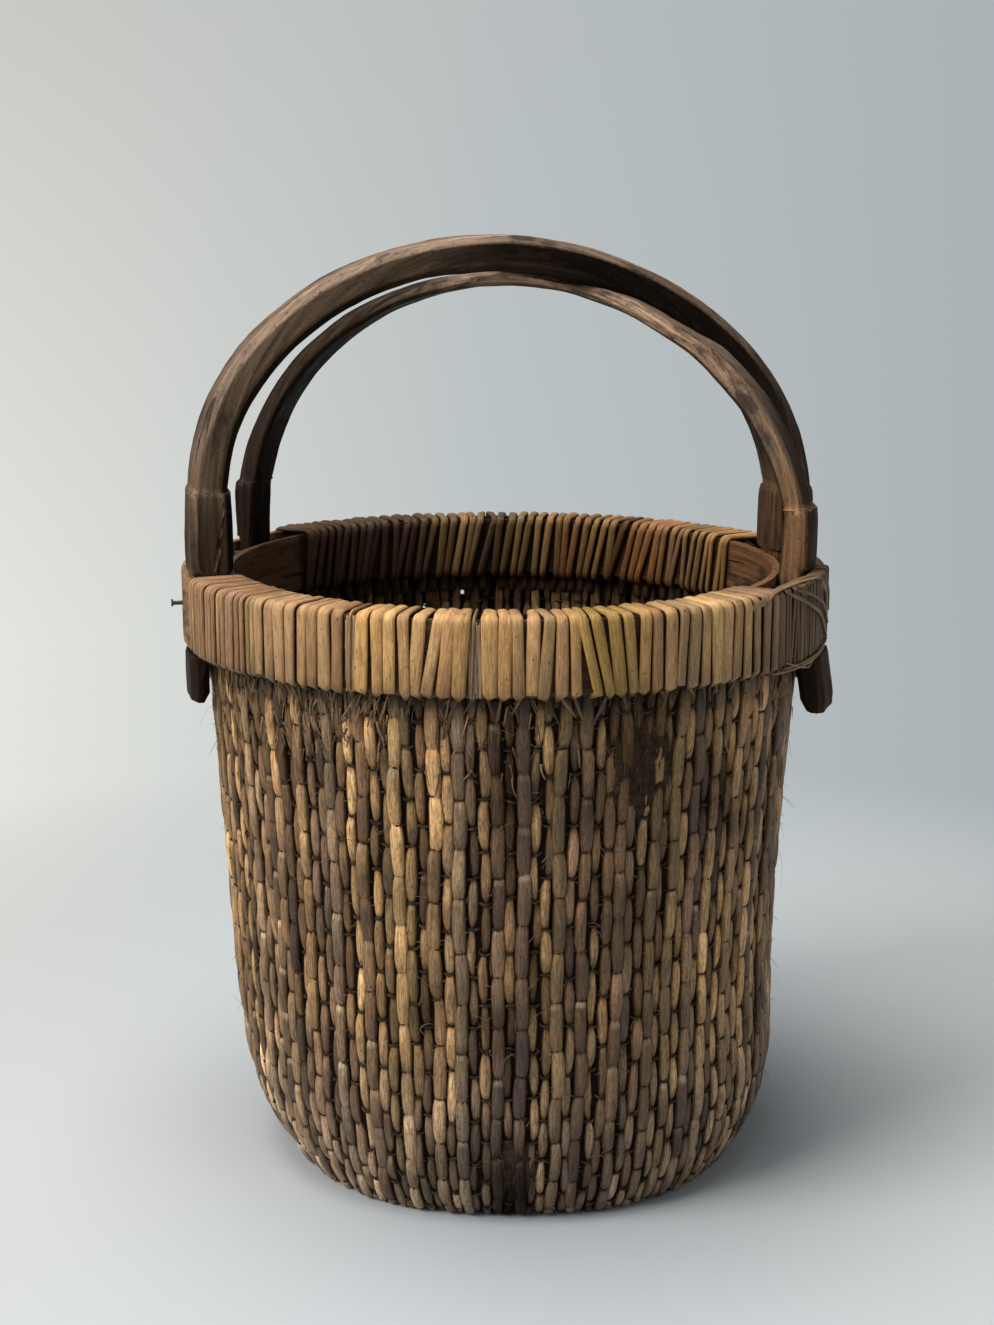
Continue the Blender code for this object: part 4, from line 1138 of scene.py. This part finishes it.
def folds(edge, degrees):
    """Whether the two faces at an edge meet at more than that angle."""
    return len(edge.link_faces) == 2 and edge.calc_face_angle(0.0) > math.radians(degrees)


def places_of(verts):
    return np.array([vert.co[:] for vert in verts])


def eased(builder, rounds):
    """Places of a mesh's points with its arrises and faces run smooth, and 1 for the points on an arris."""
    builder.verts.index_update()
    start = places_of(builder.verts)
    places = start.copy()
    edges = np.array([[v.index for v in e.verts] for e in builder.edges])
    arris = np.array([folds(edge, ARRIS_FOLD) for edge in builder.edges])
    wear = np.zeros(len(places))
    wear[edges[arris].ravel()] = 1.0
    followed = edges[arris | (wear[edges].min(1) == 0)]
    for _ in range(rounds):
        total = np.zeros_like(places)
        count = np.zeros(len(places))
        for here, there in ((0, 1), (1, 0)):
            pulled = (wear[followed[:, here]] == 0) | (wear[followed[:, there]] == 1)
            np.add.at(total, followed[pulled, here], places[followed[pulled, there]])
            np.add.at(count, followed[pulled, here], 1)
        steady = np.maximum(count, 1)[:, None]
        places = np.where(count[:, None] > 0, (places + total / steady) / 2, places)
    tails = start[:, 2] < OUTER_FOOT - 0.004
    places[tails] = start[tails]
    return places, wear


def cut_big_faces(builder):
    bmesh.ops.triangulate(builder, faces=[f for f in builder.faces if len(f.verts) > 4])


def deform_copy(node, name, finish, bevel, cell, layers, wobble, swell=None, ease=0):
    """Finer copy of a CAD node: arrises eased by bevel, faces cut to cell, then shaved uneven by wobble.

    wobble is a depth and how fine the unevenness is. ease is how many rounds of smoothing the copy gets, and
    swell gives how far its surface stands out more, from its points and normals.
    """
    builder = bmesh.new()
    builder.from_mesh(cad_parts[node].data)
    bmesh.ops.remove_doubles(builder, verts=builder.verts, dist=1e-6)
    bmesh.ops.dissolve_limit(builder, angle_limit=math.radians(0.6), verts=builder.verts, edges=builder.edges)
    bmesh.ops.bevel(builder, geom=[e for e in builder.edges if folds(e, BEVEL_FOLD)], offset=bevel,
                    offset_type="OFFSET", segments=2, profile=0.6, affect="EDGES", clamp_overlap=True)
    cut_big_faces(builder)
    for _ in range(6):
        long_edges = [e for e in builder.edges if e.calc_length() > cell]
        if not long_edges:
            break
        bmesh.ops.subdivide_edges(builder, edges=long_edges, cuts=1, use_grid_fill=True)
        cut_big_faces(builder)
    builder.normal_update()
    normals = np.array([v.normal[:] for v in builder.verts])
    places, wear = eased(builder, ease)
    more = swell(places, normals) if swell else np.zeros(len(places))
    depth, fineness = wobble
    for vert, place, out in zip(builder.verts, places, more):
        here = vert.co
        here.xyz = place
        shift = noise.noise(here * fineness) * depth + noise.noise(here * fineness * 5) * depth * 0.25
        here += vert.normal * (shift - depth * 0.6 + out)
    mesh = bpy.data.meshes.new(name)
    builder.to_mesh(mesh)
    builder.free()
    add_piece(name, mesh, finish, [node], layers(places_of(mesh.vertices), normals, wear))
    mesh.set_sharp_from_angle(angle=math.radians(SHADE_FOLD))


# About the radius of the bows and of the rim, at which their grain is in metres
BOW_RADIUS = 0.165
RIM_RADIUS = 0.160


class BowPlane:
    """Where the points of a bow lie along its arch, and which way its surface faces."""

    def __init__(self, plan_deg, spring, points, normals):
        plan = math.radians(plan_deg)
        reach = points[:, 0] * math.cos(plan) + points[:, 1] * math.sin(plan)
        self.beside = points[:, 1] * math.cos(plan) - points[:, 0] * math.sin(plan)
        lift = points[:, 2] - spring
        up = np.maximum(lift, 0.0)
        turn = np.arctan2(up, reach)
        self.radius = np.hypot(reach, up)
        down_an_end = np.where(reach > 0, lift, math.pi * BOW_RADIUS - lift)
        self.along = np.where(lift > 0, turn * BOW_RADIUS, down_an_end)
        sideways = normals[:, 0] * math.cos(plan) + normals[:, 1] * math.sin(plan)
        self.facing = sideways * np.cos(turn) + normals[:, 2] * np.sin(turn)


def bow_layers(plan_deg, spring, painted_facet_light):
    """Grain that follows a bow round its arch and down its ends, and painted light and shade that differ from
    facet to facet.

    shades are rows of (x, painted light and shade of the inner face, inner chamfer, side, outer chamfer and
    outer face).
    """

    def layers(points, normals, wear):
        x, height = points[:, 0], points[:, 2]
        bow = BowPlane(plan_deg, spring, points, normals)
        grain = np.stack([bow.beside, bow.along, bow.radius], -1)
        places, rows = zip(*painted_facet_light)
        # painted light and shade: each facet's tone, from which way it faces and where along the bow it lies
        tones = np.stack([np.interp(x, places, facet) for facet in zip(*rows)], -1)
        level = np.interp(bow.facing, [-1.0, -0.70, 0.0, 0.70, 1.0], [0.0, 1.0, 2.0, 3.0, 3.999])
        low = level.astype(int)
        part = smooth((level - low - 0.25) * 2)
        row = np.arange(len(points))
        tone = tones[row, low] * (1 - part) + tones[row, low + 1] * part
        # tails below the rim: painted shade, near black on the inner faces and grey on the outward ones
        tail = smooth((OUTER_FOOT - height) / 0.004)
        outward = bow.facing > 0.5
        tone = tone * (1 - tail) + np.where(outward, 0.28, 0.01) * tail
        # darker towards the rim
        foot = smooth((HOOP_TOP + 0.012 - height) / 0.05)
        # darker towards the rim, painted shade on the dark facets and the tails, less on worn arrises
        dirt_and_painted_shade = np.clip(0.35 * foot + smooth((0.4 - tone) / 0.4) * 0.30 - 0.4 * wear, 0, 1)
        dirt_and_painted_shade = np.maximum(dirt_and_painted_shade, tail * np.where(outward, 0.40, 1.0) * np.where(x > 0, 1.0, 0.8))
        # the left posts darker near the rim
        left_post = smooth((HOOP_TOP + 0.055 - height) / 0.030) * (x < 0)
        # worn arrises lighter, the more so where the facet's painted light is bright
        worn = 0.50 * wear * np.clip(tone, 0, 1) * (1 - tail)
        tone = tone * (1 - 0.35 * foot) * (1 - 0.55 * left_post) + worn
        right_post = smooth((HOOP_TOP + 0.075 - height) / 0.045) * (x > 0)
        return grain, tone[:, None] * mixed((1.0, 1.0, 1.0), RUDDY, right_post[:, None]), dirt_and_painted_shade

    return layers


TAIL_SWELL = 0.0014            # how much thicker the tails at the right are, below the rim


def bow_swell(plan_deg, spring, stops, face):
    """How far a bow's outer face (1) or inner face (-1) is left thicker, from stops of (x, thickness)."""

    def swell(points, normals):
        bow = BowPlane(plan_deg, spring, points, normals)
        share = smooth((bow.facing * face - 0.2) / 0.5)
        tail = TAIL_SWELL * (points[:, 2] < OUTER_FOOT - 0.003) * (points[:, 0] > 0)
        return tail + share * at_stops(points[:, 0], stops)

    return swell


def hoop_layers(left_tint, right_tint):
    """Grain that runs round a hoop, with painted shade where the binding covers it."""

    def layers(points, normals, wear):
        x, y, height = points.T
        angle = np.arctan2(y, x)
        grain = np.stack([height, angle * RIM_RADIUS, np.hypot(x, y)], -1)
        tint = mixed(left_tint, right_tint, smooth(x / 0.12)[:, None]) * (1 + 0.35 * wear[:, None])
        place = (angle % TAU) / PITCH
        for first, last in (FRONT_PLACES, BACK_PLACES):
            # painted shade under the binding
            tint[(place > first - 0.4) & (place < last + 1.2)] *= 0.30
        # darker towards the foot
        return grain, tint, smooth((OUTER_FOOT + 0.008 - height) / 0.016) * 0.5

    return layers


# Painted light and shade of the bows' facets, as tones: x, then the inner face, inner chamfer, side, outer
# chamfer and outer face
OUTER_BOW_PAINTED_LIGHT = [(-0.17, (0.05, 0.08, 0.24, 0.50, 0.45)), (-0.155, (0.05, 0.07, 0.46, 0.75, 0.60)),
                (-0.12, (0.04, 0.06, 0.55, 0.85, 0.80)), (-0.07, (0.04, 0.05, 0.42, 0.98, 0.98)),
                (-0.03, (0.10, 0.30, 0.26, 0.90, 0.95)), (0.0, (0.05, 0.16, 0.05, 0.80, 0.95)),
                (0.05, (0.03, 0.03, 0.03, 0.85, 0.90)), (0.13, (0.04, 0.04, 0.04, 0.60, 0.60)),
                (0.155, (0.50, 0.35, 0.13, 0.22, 0.18)), (0.17, (0.85, 0.68, 0.36, 0.18, 0.12))]
INNER_BOW_PAINTED_LIGHT = [(-0.16, (0.05, 0.08, 0.14, 0.06, 0.05)), (-0.08, (0.06, 0.12, 0.22, 0.08, 0.06)),
                (-0.04, (0.14, 0.40, 0.60, 0.25, 0.12)), (-0.01, (0.30, 1.10, 2.00, 1.50, 0.80)),
                (0.05, (0.30, 0.70, 1.80, 1.60, 1.10)), (0.12, (0.12, 0.30, 1.40, 1.05, 0.70)),
                (0.15, (0.12, 0.35, 0.85, 0.60, 0.18)), (0.16, (0.20, 0.45, 0.78, 0.42, 0.15))]

# How much thicker the bows are: x and thickness, on the outer bow's inner face and the inner bow's outer face
OUTER_SWELL = [(-0.040, 0.0), (-0.020, 0.0007), (0.0, 0.0010), (0.022, 0.0014), (0.042, 0.0015),
               (0.080, 0.0012), (0.105, 0.0)]
INNER_SWELL = [(-0.015, 0.0), (0.010, 0.0014), (0.033, 0.0036), (0.069, 0.0060), (0.086, 0.0042),
               (0.100, 0.0027), (0.140, 0.0010), (0.155, 0.0)]

# Plan angle in degrees and height of the arch's middle
OUTER_ARCH = (13.1, 0.3655)
INNER_ARCH = (-20.35, 0.344)


def make_wood():
    bow_wood = wood_finish("bow_wood", (0.390, 0.265, 0.170), (0.230, 0.145, 0.088), (0.090, 0.052, 0.032))
    hoop_wood = wood_finish("hoop_wood", (0.330, 0.215, 0.125), (0.200, 0.120, 0.068), (0.085, 0.048, 0.029),
                            rough=(0.85, 0.55))
    deform_copy("outer_handle_bow", "outer_bow", bow_wood, 0.0007, 0.0042,
                bow_layers(*OUTER_ARCH, OUTER_BOW_PAINTED_LIGHT), (0.00070, 38.0),
                bow_swell(*OUTER_ARCH, OUTER_SWELL, -1), ease=12)
    deform_copy("inner_handle_bow", "inner_bow", bow_wood, 0.0006, 0.0042,
                bow_layers(*INNER_ARCH, INNER_BOW_PAINTED_LIGHT), (0.00060, 42.0),
                bow_swell(*INNER_ARCH, INNER_SWELL, 1), ease=12)
    deform_copy("outer_hoop", "outer_rim_hoop", hoop_wood, 0.0010, 0.0060,
                hoop_layers((1.20, 1.08, 0.90), (0.30, 0.26, 0.23)), (0.00025, 60.0))
    deform_copy("inner_hoop", "inner_rim_hoop", hoop_wood, 0.0008, 0.0060,
                hoop_layers((0.42, 0.36, 0.29), (0.85, 0.62, 0.45)), (0.00025, 60.0))


def make_nail(finish):
    def layers(points, normals, wear):
        return points, np.ones((len(points), 3)), np.zeros(len(points))

    deform_copy("hoop_nail", "nail_stub", finish, 0.0002, 0.0010, layers, (0.00012, 400.0))


# Patches of mud: name, degrees round the wall, heights and how deep they lie below the rods' crests
MUD = [("mud_upper", (-74.0, -55.0), (0.212, 0.2835), 0.0008),
       ("mud_lower", (-96.0, -80.0), (0.0035, 0.056), 0.0012)]
MUD_BACK = 0.0062              # from the crests to the back of the mud
MUD_EDGE = 0.0042              # how much deeper a patch's edge lies than its middle
MUD_LUMPS = 0.0016
MUD_GRID = (56, 64)            # rows and columns of a patch


def make_mud(wall, finish):
    """Dried mud in the crevices, below the rim at the right and at the foot of the front."""
    rows, columns = MUD_GRID
    total = rows * columns
    index = np.arange(total).reshape(rows, columns)
    quads = np.stack([index[:-1, :-1], index[:-1, 1:], index[1:, 1:], index[1:, :-1]], -1).reshape(-1, 4)
    rim = np.concatenate([index[0, :], index[1:, -1], index[-1, -2::-1], index[-2:0:-1, 0]])
    after = np.roll(rim, -1)
    walls = np.stack([after, rim, rim + total, after + total], -1)
    faces = np.concatenate([quads, quads[:, ::-1] + total, walls])
    away = np.hypot(np.linspace(-1, 1, columns)[None], np.linspace(-1, 1, rows)[:, None])
    for name, (left, right), (low, high), depth in MUD:
        angle = np.radians(np.linspace(left, right, columns))
        height = np.linspace(low, high, rows)
        face = np.array([[wall.crest(float(a), float(z)) for a in angle] for z in height])
        spots = [Vector(spot) for spot in polar(1.0, angle[None], height[:, None]).reshape(-1, 3)]
        lumps = np.array([noise.noise(spot * 140) + 0.5 * noise.noise(spot * 420) for spot in spots])
        lumps = lumps.reshape(rows, columns)
        sunk = smooth((away + 0.35 * lumps - 0.45) / 0.6) * MUD_EDGE
        front = polar(face - depth - sunk + lumps * MUD_LUMPS, angle[None], height[:, None])
        back = polar(face - MUD_BACK, angle[None], height[:, None])
        skin = Skin()
        skin.quads(np.concatenate([front, back]).reshape(-1, 3), faces)
        skin.build(name, finish)


FUZZ_STEPS = 6
FIBRES = 420                   # twine fibres that stand off the weave
SHREDS = 2600                  # shreds of bark in the crevices
RIM_SHREDS = 620               # broader shreds under the rim
UPPER_MUD = (-77, -53)         # degrees that the broader shreds keep clear of


def lay_shred(skin, radius, angle, level, turn, length, half, flat, tint, mark, sides):
    """A shred against the weave, from a level upward, or downward where its length is below 0, that turns
    aside on its way."""
    height = level + summed(np.cos(turn[1:])) * length / FUZZ_STEPS
    angle = angle + summed(np.sin(turn[1:])) * abs(length) / FUZZ_STEPS / radius
    skin.tube(polar(radius, angle, height), polar(1.0, angle, 0.0), half * flat, half, tint, 0.0, mark,
              sides=sides)


def make_fuzz(rods, finish):
    """Loose fibres of twine that stand off the weave, and shreds of bark that lie against it."""
    rng = np.random.default_rng(FUZZ_SEED)
    skin = Skin()
    share = np.linspace(0, 1, FUZZ_STEPS)
    for i in range(FIBRES):
        rod = rods[rng.integers(RODS)]
        level = 0.03 + 0.25 * rng.random() ** 0.7
        radius = rod.face_at(level) - 0.0008
        length = rng.uniform(0.003, 0.011)
        out = rng.uniform(0.15, 0.75)
        rise = rng.normal(0, 0.8)
        side = rng.normal(0, 0.8)
        scale = length / math.sqrt(out ** 2 + rise ** 2 + side ** 2)
        curl = rng.normal(0, 0.5)
        angle = rod.angle + (side * scale * share + curl * scale * share ** 2) / radius
        path = polar(radius + out * scale * share, angle, level + (rise * share - 0.4 * share ** 2) * scale)
        half = rng.uniform(0.00010, 0.00020) * (1 - 0.6 * share)
        tint = mixed((0.36, 0.28, 0.19), (0.10, 0.07, 0.05), rng.random())
        skin.tube(path, UP + 0.01, half, half, tint, 0.0, i * 0.1, sides=3)
    for i in range(SHREDS):
        rod = rods[rng.integers(RODS)]
        level = 0.012 + 0.272 * rng.random()
        radius = rod.face_at(level) - rng.uniform(0.0006, 0.0026)
        length = rng.uniform(0.003, 0.012)
        turn = rng.normal(0, 0.9) + rng.normal(0, 1.1) * share
        half = rng.uniform(0.00012, 0.00034) * (1 - 0.5 * share)
        tint = mixed((0.40, 0.30, 0.20), (0.12, 0.08, 0.05), rng.random() ** 0.7)
        lay_shred(skin, radius, rod.angle + PITCH / 2, level, turn, length, half, 0.7, tint, i * 0.07, 3)
    for i in range(RIM_SHREDS):
        angle = math.radians(rng.uniform(-178, -2) if rng.random() < 0.45 else rng.uniform(-165, -110))
        if UPPER_MUD[0] < math.degrees(angle) < UPPER_MUD[1]:
            continue
        rod = rods[int(angle % TAU / PITCH) % RODS]
        level = 0.287 - 0.040 * rng.random() ** 1.8
        radius = rod.face_at(level) - rng.uniform(0.0001, 0.0028)
        length = rng.uniform(0.005, 0.015)
        turn = rng.normal(0, 0.30) + rng.normal(0, 0.25) * share
        half = rng.uniform(0.00025, 0.00085) * (1 - 0.6 * share)
        tint = mixed((0.46, 0.31, 0.16), (0.10, 0.06, 0.034), rng.random() ** 0.8)
        lay_shred(skin, radius, angle, level, turn, -length, half, 0.5, tint, i * 0.07, 4)
    skin.build("loose_fibres", finish)


# Floor from left to right, lighter to the right as painted light, and the backdrop from left over the middle
# to the right, low and high up, with painted light on the left and painted shade on the right
FLOOR_COLOURS = [(0.1, (0.56, 0.57, 0.545)), (0.5, (0.54, 0.585, 0.625)), (0.85, (0.64, 0.675, 0.67))]
BACKDROP_LOW = [(0.0, (0.790, 0.800, 0.750)), (0.5, (0.510, 0.555, 0.565)), (1.0, (0.400, 0.440, 0.465))]
BACKDROP_HIGH = [(0.0, (0.600, 0.600, 0.565)), (0.5, (0.480, 0.515, 0.520)), (1.0, (0.400, 0.440, 0.465))]

FLOOR_RADIUS = 6.0

# Lamps, which shine at one place: name, place, size, power and colour
LIT_PLACE = Vector((0.0, 0.0, 0.25))
LAMPS = [("key", (-1.8, -1.1, 1.85), 1.4, 55.0, (1.0, 0.97, 0.93)),
         ("top", (-0.3, 0.0, 2.1), 1.3, 31.0, (1.0, 0.99, 0.97)),
         ("fill", (1.6, -1.6, 1.2), 1.4, 4.0, (1.0, 0.98, 0.96))]


def make_floor():
    """Pale floor that fades into the backdrop."""
    builder = bmesh.new()
    bmesh.ops.create_circle(builder, cap_ends=True, segments=96, radius=FLOOR_RADIUS)
    mesh = bpy.data.meshes.new("floor")
    builder.to_mesh(mesh)
    builder.free()
    floor = placed("floor", mesh)
    made = Finish("floor_paper")
    place = made.add("ShaderNodeNewGeometry").outputs["Position"]
    side = made.add("ShaderNodeSeparateXYZ", {0: place}).outputs["X"]
    # painted light: the floor's colour grows lighter to the right
    paper = made.ramp(made.grey(side, 0.0, 1.0, -0.6, 0.6), FLOOR_COLOURS)
    made.link(paper, made.shader.inputs["Base Color"])
    made.shader.inputs["Roughness"].default_value = 0.85
    away = made.add("ShaderNodeVectorMath", {0: place}, operation="LENGTH").outputs["Value"]
    seen = made.add("ShaderNodeLightPath").outputs["Is Camera Ray"]
    fade = made.maths("MULTIPLY", made.grey(away, 0.0, 1.0, 0.45, 0.80), seen)
    clear = made.add("ShaderNodeBsdfTransparent").outputs[0]
    blend = made.add("ShaderNodeMixShader", {0: fade, 1: made.shader.outputs[0], 2: clear})
    made.link(blend.outputs[0], made.tree.nodes["Material Output"].inputs["Surface"])
    mesh.materials.append(made.material)


def make_backdrop():
    """World that lights the basket a little, and that shows the camera the backdrop instead."""
    world = bpy.data.worlds.new("studio")
    bpy.context.scene.world = world
    world.use_nodes = True
    made = Nodes(world.node_tree)
    ambient = made.tree.nodes["Background"]
    ambient.inputs["Color"].default_value = (0.90, 0.95, 1.0, 1.0)
    ambient.inputs["Strength"].default_value = 0.17
    # painted light and shade in the backdrop: lighter on the left, most of all low down, and darker on the
    # right
    towards = made.add("ShaderNodeTexCoord").outputs["Generated"]
    parts = made.add("ShaderNodeSeparateXYZ", {0: towards}).outputs
    across = made.grey(parts["X"], 0.0, 1.0, -0.25, 0.25)
    upward = made.grey(parts["Z"], 0.0, 1.0, -0.20, 0.09)
    colour = made.mix(upward, made.ramp(across, BACKDROP_LOW), made.ramp(across, BACKDROP_HIGH))
    backdrop = made.add("ShaderNodeBackground", {"Color": colour})
    seen = made.add("ShaderNodeLightPath").outputs["Is Camera Ray"]
    switch = made.add("ShaderNodeMixShader", {0: seen, 1: ambient.outputs[0], 2: backdrop.outputs[0]})
    made.link(switch.outputs[0], made.tree.nodes["World Output"].inputs["Surface"])


def make_lamps():
    """Soft light from the front left and from above, and a little from the front right."""
    for name, place, size, power, colour in LAMPS:
        light = bpy.data.lights.new(name, "AREA")
        light.size = size
        light.energy = power
        light.color = colour
        lamp = placed(name, light)
        lamp.location = place
        lamp.rotation_euler = (LIT_PLACE - Vector(place)).to_track_quat("-Z", "Y").to_euler()


def make_camera():
    lens = bpy.data.cameras.new("camera")
    lens.sensor_width = SENSOR
    lens.lens = SENSOR * FOCAL / FRAME_HEIGHT
    camera = placed("camera", lens)
    camera.location = CAMERA_PLACE
    camera.rotation_euler = (math.pi / 2 - CAMERA_DOWN, 0.0, 0.0)
    bpy.context.scene.camera = camera
    bpy.context.scene.view_settings.view_transform = "Standard"


def main():
    willow = willow_finish("willow")
    twine = willow_finish("twine", streak=0.6, blotch=0.5, rough=(0.8, 0.95), chafe=0.3)
    split = willow_finish("split_willow", streak=0.62, blotch=0.55, rough=(0.30, 0.56), chafe=0.40,
                          depth=0.00045)
    mud = mud_finish("mud")
    # very dark mud look for the sheet of painted shade between the rods
    crevice_shade_finish = mud_finish("painted_crevice_shade", light=0.22)
    wall = Wall()
    levels = weft_levels(weft_heights())
    make_floor()
    make_backdrop()
    make_lamps()
    make_camera()
    rods = make_wall(wall, levels, willow)
    make_crevice_shade_sheet(rods, crevice_shade_finish)
    make_wefts(rods, levels, twine)
    make_base(wall, willow, twine)
    make_packing(wall, willow)
    make_frayed_ends(wall, willow)
    make_bindings(split)
    make_lashing(split)
    make_rim_details(split)
    make_wood()
    make_nail(iron_finish("nail_rust"))
    make_mud(wall, mud)
    make_fuzz(rods, twine)


main()
